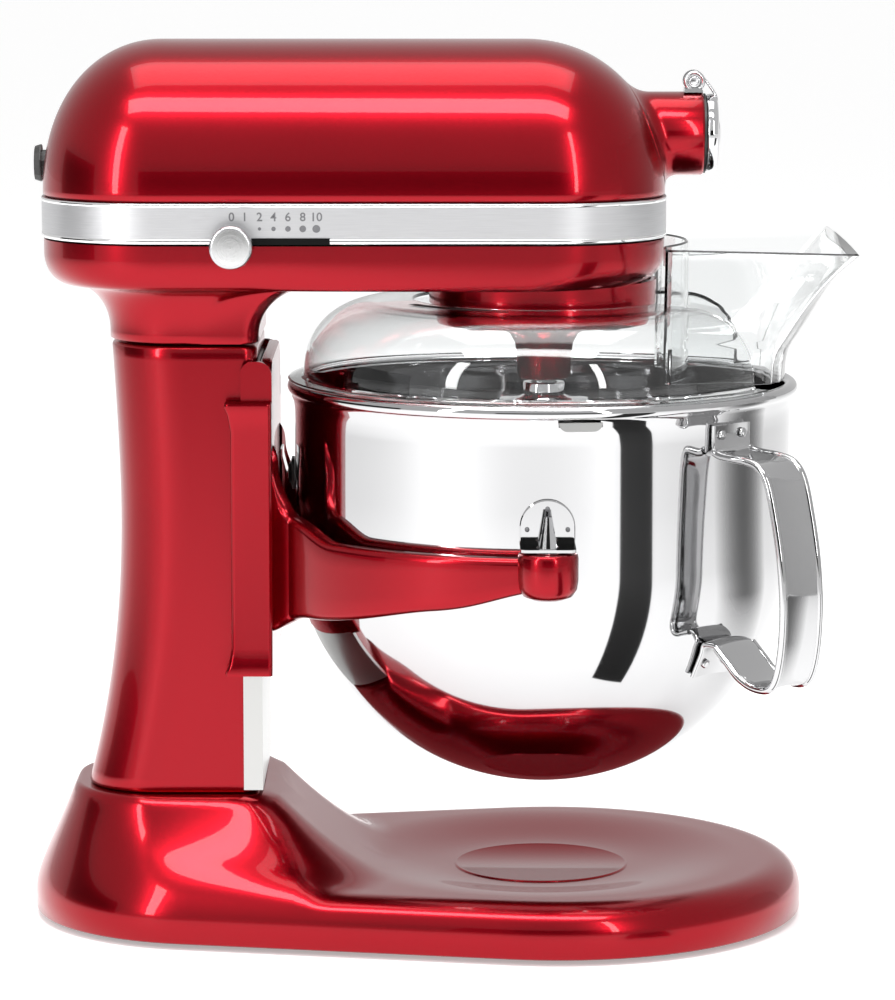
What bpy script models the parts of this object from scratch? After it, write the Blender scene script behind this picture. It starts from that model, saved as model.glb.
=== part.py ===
"""Bowl-lift stand mixer, built as separate pieces on an empty called mixer.

Metres, +Z up.  Inside the file every place is counted from the bowl's axis: x forward to the
attachment hub, y to the lift lever's side, z up from the counter.  The empty then carries the
whole mixer so that the world origin is under the middle of its overall length.
"""
import math

import bmesh
import bpy
from mathutils import Vector

# ---------------------------------------------------------------- driving dimensions
GAP = 0.0003                # between pieces that touch
RUN = 0.0004                # radial clearance of a shaft in its hole

# Base
FOOT_HEIGHT = 0.003         # rubber standing below the base's lower edge
BASE_FRONT = 0.125          # from the bowl's axis to the base's front edge
BASE_REAR = 0.244           # from the bowl's axis to the base's rear edge
BASE_FRONT_RADIUS = 0.119
BASE_REAR_RADIUS = 0.089
BASE_EDGE_HEIGHT = 0.014    # top of the upright edge
BASE_LIP_RADIUS = 0.015
BASE_TOP = 0.0275           # height of the pad beside the dish
DISH_HEIGHT = 0.0225        # height of the flat disc in the dish
DISH_RADIUS = 0.042
DISH_SLOPE = 0.062          # width of the slope from the flat disc out to the pad
BASE_WALL = 0.004
FOOT_RADIUS = 0.010
FOOT_INSET = 0.020          # from the base's outline to a foot's axis

# Pedestal, column and neck
PEDESTAL_TOP = 0.066
PEDESTAL_SKIRT = 0.056      # widest reach of the pedestal's hollow side
PEDESTAL_HOLLOW = 1.4       # 1 is a straight slope, more is hollower
PEDESTAL_EDGE = 0.004       # rounding round the pedestal's top
COLUMN_FRONT = -0.134       # flat front face of the column
COLUMN_HALF_WIDTH = 0.048
COLUMN_REAR = -0.200        # rear edge at the waist
COLUMN_WAIST = 0.205        # height of the waist
COLUMN_FLARE = 0.0174       # how far the rear edge has moved back at the pedestal
COLUMN_WALL = 0.004
NECK_SEAM = 0.279           # top of the column

# Head
HEAD_FRONT = 0.058
HEAD_REAR = -0.237
HEAD_HALF_WIDTH = 0.066
HEAD_END_RADIUS = 0.058     # plan radius of the head's corners
HEAD_TOP = 0.4195
HEAD_BOTTOM = 0.307
HEAD_CROWN = 0.058          # how far the head's sides come in over its top
CROWN_POWER = 2.2           # 2 is a true quarter round, more is squarer
HEAD_WALL = 0.0035
BAND_BOTTOM = 0.327
BAND_HEIGHT = 0.020
BAND_THICKNESS = 0.0016

# Attachment hub
HUB_HEIGHT = 0.375
HUB_RADIUS = 0.020
HUB_FACE = 0.0762           # front face of the hub
HUB_BORE = 0.0125
HUB_COVER_THICKNESS = 0.0062
HUB_PIN_HEIGHT = 0.4003     # hinge pin of the hub's cover
HUB_PIN_X = 0.0724

# Gear train: tooth counts, then the sizes that follow from them
RING_TEETH = 40
PLANET_TEETH = 10
ORBIT_RADIUS = 0.035        # from the bowl's axis to the beater's axis
CENTRE_TEETH = 32
DRIVE_TEETH = 10
DRIVE_MODULE = 0.0020
WORM_WHEEL_TEETH = 30
WORM_STARTS = 3
WORM_WHEEL_RADIUS = 0.0232
WORM_RADIUS = 0.0060
WORM_LENGTH = 0.028
CENTRE_BEVEL_TEETH = 26
HUB_BEVEL_TEETH = 20
BEVEL_MODULE = 0.002
BEVEL_TAPER = 0.80          # small end of the hub's bevel gear over its large end
CENTRE_TAPER = 0.86
HOUSING_RADIUS = 0.054
HOUSING_BOTTOM = 0.2945

# Motor
MOTOR_HEIGHT = 0.368
MOTOR_RADIUS = 0.038
MOTOR_LENGTH = 0.060
MOTOR_MIDDLE = -0.150       # middle of the stator, along x

# Bowl
BOWL_RADIUS = 0.118
BOWL_DEPTH = 0.190          # rim bead's centre above the bowl's bottom
BOWL_BOTTOM = 0.0655
BOWL_ROUND = 0.113          # height over which the wall turns into the bottom
BOWL_WALL = 0.0012
RIM_BEAD = 0.0042           # radius of the rolled rim

# Bowl support, slide and lever
LIFT_TRAVEL = 0.035
TRACK_THICKNESS = 0.0015
TRACK_DEPTH = 0.009
TRACK_BOTTOM = 0.0685
TRACK_TOP = 0.268
SUPPORT_WEB = 0.0050        # thickness of the support's upright plate
SUPPORT_BOTTOM = 0.1245
SUPPORT_TOP = 0.2730
BAR_TOP = 0.2530
BAR_WIDTH = 0.010
BAR_DEPTH = 0.012
BOSS_RADIUS = 0.0138
BOSS_TOP = 0.1945
BOSS_HEIGHT = 0.0205
PIN_STANDOFF = 0.0125       # from the bowl's wall to a locating pin's axis
LEVER_TURN = math.radians(100)
LEVER_AXIS_X = -0.172
LEVER_AXIS_HEIGHT = 0.195
LEVER_LENGTH = 0.064

# Speed control
SPEED_TRAVEL = 0.039
KNOB_RADIUS = 0.0098
KNOB_X = -0.1445            # knob at its off position

# Pouring shield
SHIELD_WALL = 0.0022
SHIELD_TOP = 0.2965
SHIELD_OPENING_ROOM = 0.010 # from the gear housing out to the shield's opening
CHUTE_TOP = 0.3235
CHUTE_REACH = 0.1410        # from the bowl's axis to the chute's lip
THROAT_HALF_WIDTH = 0.0425  # where the chute meets the dome
MOUTH_BACK_HALF = 0.062     # half width of the mouth beside the head
MOUTH_FRONT_HALF = 0.085    # half width of the mouth at its lip
CHUTE_BACK_ROOM = 0.0035    # from the shield's opening out to the chute's back wall
THROAT_ROOM = 0.0025        # from the bowl's wall in to the throat's front wall
THROAT_TOP = 0.2770         # height where the chute begins to spread
LIP_BOW = 0.003             # how far the lip's ends stand back from its middle

# Dough hook
HOOK_DISC_RADIUS = 0.0215
HOOK_DISC_HEIGHT = 0.2500
HOOK_ROD = 0.0065
HOOK_SWEEP = 0.036          # how far the spiral stands off its own axis
HOOK_BOTTOM = 0.106

# Handle
HANDLE_ANGLE = math.radians(-45)
HANDLE_WIDTH = 0.026
HANDLE_STRAP = 0.0025

# ---------------------------------------------------------------- sizes that follow
BOWL_AXIS_X = (BASE_REAR - CHUTE_REACH) / 2
BAND_TOP = BAND_BOTTOM + BAND_HEIGHT
RIM_HEIGHT = BOWL_BOTTOM + BOWL_DEPTH
RIM_RADIUS = BOWL_RADIUS + RIM_BEAD - BOWL_WALL
PIN_Y = BOWL_RADIUS + PIN_STANDOFF
SHIELD_OPENING = HOUSING_RADIUS + SHIELD_OPENING_ROOM
CHUTE_BACK_RADIUS = SHIELD_OPENING + CHUTE_BACK_ROOM
THROAT_FRONT = BOWL_RADIUS - THROAT_ROOM
RING_MODULE = 2 * ORBIT_RADIUS / (RING_TEETH - PLANET_TEETH)
RING_PITCH = RING_MODULE * RING_TEETH / 2
PLANET_PITCH = RING_MODULE * PLANET_TEETH / 2
CENTRE_PITCH = DRIVE_MODULE * CENTRE_TEETH / 2
DRIVE_PITCH = DRIVE_MODULE * DRIVE_TEETH / 2
CENTRE_BEVEL_PITCH = BEVEL_MODULE * CENTRE_BEVEL_TEETH / 2
HUB_BEVEL_PITCH = BEVEL_MODULE * HUB_BEVEL_TEETH / 2
BEVEL_PLANE = HUB_HEIGHT - HUB_BEVEL_PITCH
DRIVE_Y = 0.022
DRIVE_X = -math.sqrt((CENTRE_PITCH + DRIVE_PITCH) ** 2 - DRIVE_Y ** 2)
WORM_Y = DRIVE_Y - WORM_WHEEL_RADIUS - WORM_RADIUS - GAP
CRANK_RADIUS = LIFT_TRAVEL / 2 / math.sin(LEVER_TURN / 2)
TRACK_FACE = COLUMN_FRONT + GAP + TRACK_THICKNESS
WEB_BACK = TRACK_FACE + GAP
WEB_FACE = WEB_BACK + SUPPORT_WEB
BAR_INSIDE = COLUMN_HALF_WIDTH + TRACK_THICKNESS + 2 * GAP
LATCH_FACE = WEB_FACE + 0.0052    # front of the latch's strip, where the bowl's stud meets it
TONGUE_HEIGHT = LEVER_AXIS_HEIGHT + LIFT_TRAVEL / 2
PLANET_BOTTOM = 0.2865
BEATER_X = 0.0
BEATER_Y = -ORBIT_RADIUS
ROUND = 28                  # sides of a large turned piece


# ---------------------------------------------------------------- materials
def material(name, colour, metallic, roughness, alpha=1.0):
    """A Principled BSDF material in one colour."""
    made = bpy.data.materials.new(name)
    made.use_nodes = True
    shader = made.node_tree.nodes["Principled BSDF"]
    shader.inputs["Base Color"].default_value = (*colour, 1.0)
    shader.inputs["Metallic"].default_value = metallic
    shader.inputs["Roughness"].default_value = roughness
    shader.inputs["Alpha"].default_value = alpha
    made.diffuse_color = (*colour, alpha)
    return made


def make_materials():
    """One material for each finish on the mixer."""
    return {
        "paint": material("red_paint", (0.36, 0.005, 0.012), 0.6, 0.25),
        "band": material("brushed_aluminium", (0.72, 0.72, 0.72), 1.0, 0.35),
        "chrome": material("chrome", (0.82, 0.82, 0.83), 1.0, 0.08),
        "bowl": material("polished_steel", (0.78, 0.78, 0.78), 1.0, 0.10),
        "steel": material("machined_steel", (0.50, 0.50, 0.52), 1.0, 0.35),
        "brass": material("bronze", (0.62, 0.42, 0.18), 1.0, 0.35),
        "copper": material("copper_winding", (0.60, 0.25, 0.10), 1.0, 0.40),
        "black": material("black_plastic", (0.02, 0.02, 0.02), 0.0, 0.45),
        "board": material("circuit_board", (0.03, 0.20, 0.07), 0.0, 0.50),
        "rubber": material("black_rubber", (0.025, 0.025, 0.025), 0.0, 0.80),
        "clear": material("clear_plastic", (0.92, 0.94, 0.95), 0.0, 0.05, 0.3),
    }


# ---------------------------------------------------------------- mesh helpers
def object_from(name, mesh_data, look, parent, sharp=35):
    """Turn a bmesh into an object with one material, shaded smooth up to an angle."""
    bmesh.ops.remove_doubles(mesh_data, verts=mesh_data.verts, dist=1e-6)
    bmesh.ops.recalc_face_normals(mesh_data, faces=mesh_data.faces)
    mesh = bpy.data.meshes.new(name)
    mesh_data.to_mesh(mesh)
    mesh_data.free()
    mesh.shade_smooth()
    mesh.set_sharp_from_angle(angle=math.radians(sharp))
    made = bpy.data.objects.new(name, mesh)
    bpy.context.scene.collection.objects.link(made)
    made.parent = parent
    if look is not None:
        mesh.materials.append(look)
    return made


def empty(name, parent, place=(0, 0, 0)):
    """An empty that carries pieces; place is counted from the parent."""
    made = bpy.data.objects.new(name, None)
    made.empty_display_size = 0.03
    made.location = place
    made.parent = parent
    bpy.context.scene.collection.objects.link(made)
    return made


def skin(name, rings, look, parent, wrap=False, sharp=35):
    """Bridge equal rings of points; cap both ends, or wrap the last ring to the first."""
    made = bmesh.new()
    grid = [[made.verts.new(point) for point in ring] for ring in rings]
    count = len(grid[0])
    pairs = list(zip(grid, grid[1:]))
    if wrap:
        pairs.append((grid[-1], grid[0]))
    for low, high in pairs:
        for i in range(count):
            j = (i + 1) % count
            made.faces.new((low[i], low[j], high[j], high[i]))
    if not wrap:
        made.faces.new(list(reversed(grid[0])))
        made.faces.new(grid[-1])
    return object_from(name, made, look, parent, sharp)


def turned(name, profile, look, parent, sides=ROUND, closed=False, sharp=35):
    """Turn a profile of (radius, height) about Z; a closed profile goes round a hollow."""
    made = bmesh.new()
    rings = []
    for radius, height in profile:
        if radius < 1e-7:
            rings.append([made.verts.new((0, 0, height))])
            continue
        angles = [2 * math.pi * i / sides for i in range(sides)]
        rings.append([made.verts.new((radius * math.cos(a), radius * math.sin(a), height))
                      for a in angles])
    pairs = list(zip(rings, rings[1:]))
    if closed:
        pairs.append((rings[-1], rings[0]))
    for low, high in pairs:
        for i in range(sides):
            j = (i + 1) % sides
            corners = [low[i % len(low)], low[j % len(low)], high[j % len(high)], high[i % len(high)]]
            corners = list(dict.fromkeys(corners))
            if len(corners) > 2:
                made.faces.new(corners)
    return object_from(name, made, look, parent, sharp)


def prism(name, outline, low, high, look, parent, sharp=35):
    """Extrude a plan outline between two heights."""
    rings = [[(x, y, z) for x, y in outline] for z in (low, high)]
    return skin(name, rings, look, parent, sharp=sharp)


def block(name, low, high, look, parent):
    """A plain box between two corners."""
    outline = [(low[0], low[1]), (high[0], low[1]), (high[0], high[1]), (low[0], high[1])]
    return prism(name, outline, low[2], high[2], look, parent)


def circle(radius, sides, centre=(0, 0)):
    """Points of a circle."""
    return [(centre[0] + radius * math.cos(2 * math.pi * i / sides),
             centre[1] + radius * math.sin(2 * math.pi * i / sides)) for i in range(sides)]


def along_x(piece, place):
    """Lay a piece that was turned about Z along X, its height now counted along +X."""
    piece.rotation_euler = (0, math.pi / 2, 0)
    piece.location = place
    return piece


def along_y(piece, place, side=1):
    """Lay a piece that was turned about Z along +Y, or along -Y."""
    piece.rotation_euler = (-side * math.pi / 2, 0, 0)
    piece.location = place
    return piece


def cutter(piece):
    """Mark a piece as a tool for a Boolean, and leave it out of the model."""
    piece.hide_render = True
    piece.display_type = "WIRE"
    return piece


def cut(piece, tool, operation="DIFFERENCE"):
    """Boolean a tool out of a piece, or onto it."""
    step = piece.modifiers.new(tool.name, "BOOLEAN")
    step.object = cutter(tool)
    step.operation = operation
    step.solver = "EXACT"
    return piece


def add(piece, tool):
    """Boolean a tool onto a piece."""
    return cut(piece, tool, "UNION")


def rounded(rear, front, half, rear_radius, front_radius, steps=4):
    """Plan outline of a rounded rectangle, anticlockwise from its front right corner."""
    points = []
    corners = [(front - front_radius, -half + front_radius, front_radius, -90),
               (front - front_radius, half - front_radius, front_radius, 0),
               (rear + rear_radius, half - rear_radius, rear_radius, 90),
               (rear + rear_radius, -half + rear_radius, rear_radius, 180)]
    for x, y, radius, start in corners:
        for i in range(steps + 1):
            a = math.radians(start + 90 * i / steps)
            points.append((x + radius * math.cos(a), y + radius * math.sin(a)))
    return points


def level(outline, height):
    """A plan outline as a ring of points at one height."""
    return [(x, y, height) for x, y in outline]


def smooth_min(a, b, reach):
    """Smaller of two heights, blended over reach where they cross."""
    share = min(1.0, max(0.0, 0.5 + 0.5 * (b - a) / reach))
    return b + (a - b) * share - reach * share * (1 - share)


def smooth_step(value):
    """0 to 1 with level ends."""
    value = min(1.0, max(0.0, value))
    return value * value * (3 - 2 * value)


# ---------------------------------------------------------------- base and feet
def base_outline(front_steps=18, side_steps=9, rear_steps=14):
    """Hull of the rear and front circles: each point with the place it comes in to."""
    rear, front = -BASE_REAR + BASE_REAR_RADIUS, BASE_FRONT - BASE_FRONT_RADIUS
    split = math.pi / 2 + math.asin((BASE_FRONT_RADIUS - BASE_REAR_RADIUS) / (front - rear))
    sweep = 2 * split
    places = [(front, BASE_FRONT_RADIUS, -split + sweep * i / front_steps) for i in range(front_steps + 1)]
    for i in range(1, side_steps):
        share = i / side_steps
        radius = BASE_FRONT_RADIUS + (BASE_REAR_RADIUS - BASE_FRONT_RADIUS) * share
        places.append((front + (rear - front) * share, radius, split))
    sweep = 2 * (math.pi - split)
    places += [(rear, BASE_REAR_RADIUS, split + sweep * i / rear_steps) for i in range(rear_steps + 1)]
    for i in range(1, side_steps):
        share = 1 - i / side_steps
        radius = BASE_FRONT_RADIUS + (BASE_REAR_RADIUS - BASE_FRONT_RADIUS) * share
        places.append((front + (rear - front) * share, radius, -split))
    return [((x + r * math.cos(a), r * math.sin(a)), (x, 0.0)) for x, r, a in places]


def pedestal_distance(x, y):
    """Distance outside the pedestal's top, a rounded rectangle under the column."""
    rear, front, half = COLUMN_REAR - COLUMN_FLARE - 0.002, COLUMN_FRONT + 0.004, COLUMN_HALF_WIDTH + 0.007
    rear_share = smooth_step((-x - 0.160) / 0.03)
    radius = 0.012 + 0.030 * rear_share
    middle_x, half_x = (rear + front) / 2, (front - rear) / 2
    dx = abs(x - middle_x) - half_x + radius
    dy = abs(y) - half + radius
    outside = math.hypot(max(dx, 0), max(dy, 0)) + min(max(dx, dy), 0) - radius
    return outside


def base_surface(x, y, from_edge):
    """Height of the base's top: the lip at its edge, the dish, and the rise to the pedestal."""
    lip = min(1.0, from_edge / BASE_LIP_RADIUS)
    from_axis = math.hypot(x, y)
    dish = DISH_HEIGHT + (BASE_TOP - DISH_HEIGHT) * smooth_step((from_axis - DISH_RADIUS) / DISH_SLOPE)
    pad = BASE_EDGE_HEIGHT + (dish - BASE_EDGE_HEIGHT) * math.sqrt(max(0.0, 1 - (1 - lip) ** 2))
    away = max(0.0, pedestal_distance(x, y))
    room = min(away + from_edge, PEDESTAL_SKIRT)
    share = min(1.0, away / room) if room > 1e-6 else 0.0
    rise = PEDESTAL_TOP + PEDESTAL_EDGE - pad
    return smooth_min(pad + rise * (1 - share) ** PEDESTAL_HOLLOW, PEDESTAL_TOP, PEDESTAL_EDGE)


def base_shell_rings():
    """Outside of the base from its lower edge up and in to the middle line."""
    outline = base_outline()
    rings = [[(px, py, FOOT_HEIGHT) for (px, py), _ in outline],
             [(px, py, BASE_EDGE_HEIGHT) for (px, py), _ in outline]]
    for share in (0.97, 0.93, 0.88, 0.82, 0.76, 0.70, 0.64, 0.58, 0.51, 0.43, 0.33, 0.18, 0.0):
        ring = []
        for (px, py), (cx, cy) in outline:
            x = cx + (px - cx) * share
            y = cy + (py - cy) * share
            from_edge = (1 - share) * math.hypot(px - cx, py - cy)
            ring.append((x, y, base_surface(x, y, from_edge)))
        rings.append(ring)
    return rings


def make_base(looks, root):
    """The base casting: a shell, open below, with a boss and hole for each foot."""
    made = bmesh.new()
    grid = [[made.verts.new(point) for point in ring] for ring in base_shell_rings()]
    count = len(grid[0])
    for low, high in zip(grid, grid[1:]):
        for i in range(count):
            j = (i + 1) % count
            made.faces.new((low[i], low[j], high[j], high[i]))
    base = object_from("base", made, looks["paint"], root)
    thick = base.modifiers.new("wall", "SOLIDIFY")
    thick.thickness = BASE_WALL
    thick.offset = -1
    thick.use_even_offset = True
    for number, (x, y) in enumerate(foot_places(), 1):
        around = [(x + dx, y + dy) for dx in (-0.0075, 0.0075) for dy in (-0.0075, 0.0075)]
        top = min(base_surface(px, py, edge_distance(px, py)) for px, py in around) - BASE_WALL / 2
        boss = turned(f"foot_boss_{number}", [(0, FOOT_HEIGHT + 0.001), (0.0075, FOOT_HEIGHT + 0.001),
                                              (0.0075, top), (0, top)], None, root, sides=10)
        boss.location = (x, y, 0)
        add(base, boss)
        hole = turned(f"foot_hole_{number}", [(0, 0), (0.0035, 0), (0.0035, 0.012), (0, 0.012)],
                      None, root, sides=14)
        hole.location = (x, y, 0)
        cut(base, hole)
    return base


def edge_distance(x, y):
    """How far a place inside the base is from its outline."""
    rear_x = -BASE_REAR + BASE_REAR_RADIUS
    front_x = BASE_FRONT - BASE_FRONT_RADIUS
    sine = (BASE_FRONT_RADIUS - BASE_REAR_RADIUS) / (front_x - rear_x)
    cosine = math.sqrt(1 - sine * sine)
    along = (x - rear_x) * cosine + abs(y) * sine
    if along < 0:
        return BASE_REAR_RADIUS - math.hypot(x - rear_x, y)
    if along > (front_x - rear_x) * cosine:
        return BASE_FRONT_RADIUS - math.hypot(x - front_x, y)
    return BASE_REAR_RADIUS + (x - rear_x) * sine - abs(y) * cosine


def foot_places():
    """Two feet under the pedestal, two beside the bowl and one in front."""
    rear_x = -BASE_REAR + BASE_REAR_RADIUS
    front_x = BASE_FRONT - BASE_FRONT_RADIUS
    places = []
    for centre, radius, degrees in ((rear_x, BASE_REAR_RADIUS, 128), (front_x, BASE_FRONT_RADIUS, 62)):
        a = math.radians(degrees)
        reach = radius - FOOT_INSET
        places.append((centre + reach * math.cos(a), reach * math.sin(a)))
        places.append((centre + reach * math.cos(a), -reach * math.sin(a)))
    places.append((-0.060, 0.0))
    return places


def make_feet(looks, root):
    """Rubber feet: a round sole with a stem pressed up into its boss."""
    for number, (x, y) in enumerate(foot_places(), 1):
        stem = 0.0035 - GAP
        sole_top = FOOT_HEIGHT + 0.001 - GAP
        profile = [(0, 0), (FOOT_RADIUS - 0.001, 0), (FOOT_RADIUS, 0.001), (FOOT_RADIUS, sole_top),
                   (stem, sole_top), (stem, 0.009), (0, 0.009)]
        foot = turned(f"foot_{number}", profile, looks["rubber"], root, sides=14)
        foot.location = (x, y, 0)


# ---------------------------------------------------------------- column and head castings
def column_rear(height):
    """Rear edge of the column at a height."""
    if height < COLUMN_WAIST:
        share = (COLUMN_WAIST - height) / (COLUMN_WAIST - PEDESTAL_TOP)
        return COLUMN_REAR - COLUMN_FLARE * share ** 2
    share = (height - COLUMN_WAIST) / (NECK_SEAM - COLUMN_WAIST)
    return COLUMN_REAR - 0.0035 * share ** 2


def column_outline(height, inset=0.0):
    """Plan outline of the column, wider behind than in front."""
    return rounded(column_rear(height) + inset, COLUMN_FRONT - inset, COLUMN_HALF_WIDTH - inset,
                   0.036 - inset, 0.006 - inset)


def make_column(looks, root):
    """The column: a tube with a slot for the lift tongue and a hole for the lever's shaft."""
    low, high = PEDESTAL_TOP + GAP, NECK_SEAM - GAP
    heights = [low + (high - low) * i / 6 for i in range(7)]
    outside = [level(column_outline(h), h) for h in heights]
    inside = [level(column_outline(h, COLUMN_WALL), h) for h in reversed(heights)]
    column = skin("column", outside + inside, looks["paint"], root, wrap=True)
    cut(column, tongue_slot("column_slot", 0.009, root))
    hole = turned("shaft_hole", [(0, 0), (0.0075, 0), (0.0075, 0.03), (0, 0.03)], None, root, sides=14)
    cut(column, along_y(hole, (LEVER_AXIS_X, COLUMN_HALF_WIDTH - 0.02, LEVER_AXIS_HEIGHT)))
    return column


def tongue_slot(name, half, root):
    """Cutter for the opening that the lift tongue runs in."""
    low = (COLUMN_FRONT - 0.012, -half, TONGUE_HEIGHT - LIFT_TRAVEL - 0.020)
    high = (COLUMN_FRONT + 0.012, half, TONGUE_HEIGHT + 0.018)
    return block(name, low, high, None, root)


def head_outline(inset):
    """Plan outline of the head, moved in by inset."""
    radius = max(HEAD_END_RADIUS - inset, 0.004)
    return rounded(HEAD_REAR + inset, HEAD_FRONT - inset, HEAD_HALF_WIDTH - inset, radius, radius)


def neck_outline(share, inset):
    """Plan outline of the neck, from the column's top (0) to the head's underside (1)."""
    spread = share ** 1.6
    rear = column_rear(NECK_SEAM) - 0.010 * spread
    front = COLUMN_FRONT + 0.018 * share ** 2.2
    half = COLUMN_HALF_WIDTH + 0.007 * spread
    return rounded(rear + inset, front - inset, half - inset, 0.036 - inset,
                   0.006 + 0.014 * share - inset * 0.5)


def make_head_lower(looks, root):
    """Neck and lower half of the head in one casting, open above and round the gears."""
    under = HEAD_BOTTOM - 0.0005
    outside = []
    for share in (0.0, 0.35, 0.65, 0.88, 1.0):
        height = NECK_SEAM + GAP + (under - NECK_SEAM - GAP) * math.sin(share * math.pi / 2)
        outside.append(level(neck_outline(share, 0.0), height))
    turn = 0.012
    for degrees in (0, 30, 60, 90):
        a = math.radians(degrees)
        inset = 0.0012 + turn * (1 - math.sin(a))
        outside.append(level(head_outline(inset), HEAD_BOTTOM + turn * (1 - math.cos(a))))
    outside.append(level(head_outline(0.0), BAND_BOTTOM - GAP))
    inside = [level(head_outline(HEAD_WALL), BAND_BOTTOM - GAP),
              level(head_outline(0.0012 + HEAD_WALL), HEAD_BOTTOM + turn)]
    for degrees in (45, 0):
        a = math.radians(degrees)
        inset = 0.0012 + HEAD_WALL + (turn - HEAD_WALL) * (1 - math.sin(a))
        height = HEAD_BOTTOM + HEAD_WALL + (turn - HEAD_WALL) * (1 - math.cos(a))
        inside.append(level(head_outline(inset), height))
    for share in (1.0, 0.65, 0.0):
        height = NECK_SEAM + GAP + (under - NECK_SEAM - GAP) * math.sin(share * math.pi / 2)
        if share == 1.0:
            height = HEAD_BOTTOM + HEAD_WALL - 0.0005
        inside.append(level(neck_outline(share, COLUMN_WALL), height))
    head = skin("head_lower", outside + inside, looks["paint"], root, wrap=True)
    opening = turned("gear_opening", [(0, 0.28), (0.050, 0.28), (0.050, 0.32), (0, 0.32)], None, root,
                     sides=28)
    cut(head, opening)
    cut(head, speed_slot("lower_slot", root))
    return head


def crown_inset(height):
    """How far the head's side has come in at a height, over its rounded top edge."""
    rise = min(1.0, max(0.0, (height - BAND_TOP) / (HEAD_TOP - BAND_TOP)))
    return HEAD_CROWN * (1 - (1 - rise ** CROWN_POWER) ** (1 / CROWN_POWER))


def make_head_upper(looks, root):
    """Upper half of the head: a cover with a tongue behind the band, and the hub's boss."""
    heights = [BAND_TOP + GAP]
    heights += [BAND_TOP + (HEAD_TOP - BAND_TOP) * share for share in (0.30, 0.52, 0.70, 0.84, 0.93,
                                                                       0.98)]
    outside = [level(head_outline(crown_inset(h)), h) for h in heights]
    top = HEAD_CROWN + 0.004
    outside.append(level(head_outline(top), HEAD_TOP))
    recess = BAND_THICKNESS + GAP
    inner = recess + HEAD_WALL
    inside = [level(head_outline(recess), BAND_TOP + GAP),
              level(head_outline(recess), BAND_BOTTOM + GAP),
              level(head_outline(inner), BAND_BOTTOM + GAP)]
    inside += [level(head_outline(inner + crown_inset(h)), h - HEAD_WALL) for h in heights[1:]]
    inside.append(level(head_outline(top + 0.004), HEAD_TOP - HEAD_WALL))
    rings = list(reversed(outside)) + inside
    head = skin("head_upper", rings, looks["paint"], root)
    boss = turned("hub_boss", [(0, 0.034), (HUB_RADIUS, 0.034), (HUB_RADIUS, HUB_FACE - 0.001),
                               (HUB_RADIUS - 0.001, HUB_FACE), (0, HUB_FACE)], None, root, sides=24)
    add(head, along_x(boss, (0, 0, HUB_HEIGHT)))
    bore_radius = HUB_BORE + 0.003
    bore = turned("hub_bore", [(0, 0.02), (bore_radius, 0.02), (bore_radius, 0.09), (0, 0.09)],
                  None, root, sides=20)
    cut(head, along_x(bore, (0, 0, HUB_HEIGHT)))
    screw_hole = turned("thumbscrew_hole", [(0, 0), (0.0036, 0), (0.0036, 0.02), (0, 0.02)], None, root,
                        sides=10)
    cut(head, along_y(screw_hole, (HUB_FACE - 0.012, 0.008, HUB_HEIGHT)))
    cut(head, speed_slot("upper_slot", root))
    inlet = turned("inlet_hole", [(0, 0), (0.0065, 0), (0.0065, 0.02), (0, 0.02)], None, root, sides=12)
    cut(head, along_x(inlet, (HEAD_REAR - 0.008, 0, BAND_TOP + 0.014)))
    return head


def speed_slot(name, root):
    """Cutter for the slot that the speed control's stem slides in."""
    half = 0.0024
    low = (KNOB_X - 0.0035, -HEAD_HALF_WIDTH - 0.01, BAND_BOTTOM - half)
    high = (KNOB_X + SPEED_TRAVEL + 0.0075, -HEAD_HALF_WIDTH + 0.012, BAND_BOTTOM + half)
    return block(name, low, high, None, root)


def make_band(looks, root):
    """The trim band that wraps the head between its two halves."""
    low, high = BAND_BOTTOM + GAP, BAND_TOP - GAP
    rings = [level(head_outline(-0.0004), low + 0.0006), level(head_outline(-0.0004), high - 0.0006),
             level(head_outline(0.0), high), level(head_outline(BAND_THICKNESS), high),
             level(head_outline(BAND_THICKNESS), low), level(head_outline(0.0), low)]
    band = skin("trim_band", rings, looks["band"], root, wrap=True)
    return cut(band, speed_slot("band_slot", root))


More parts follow.
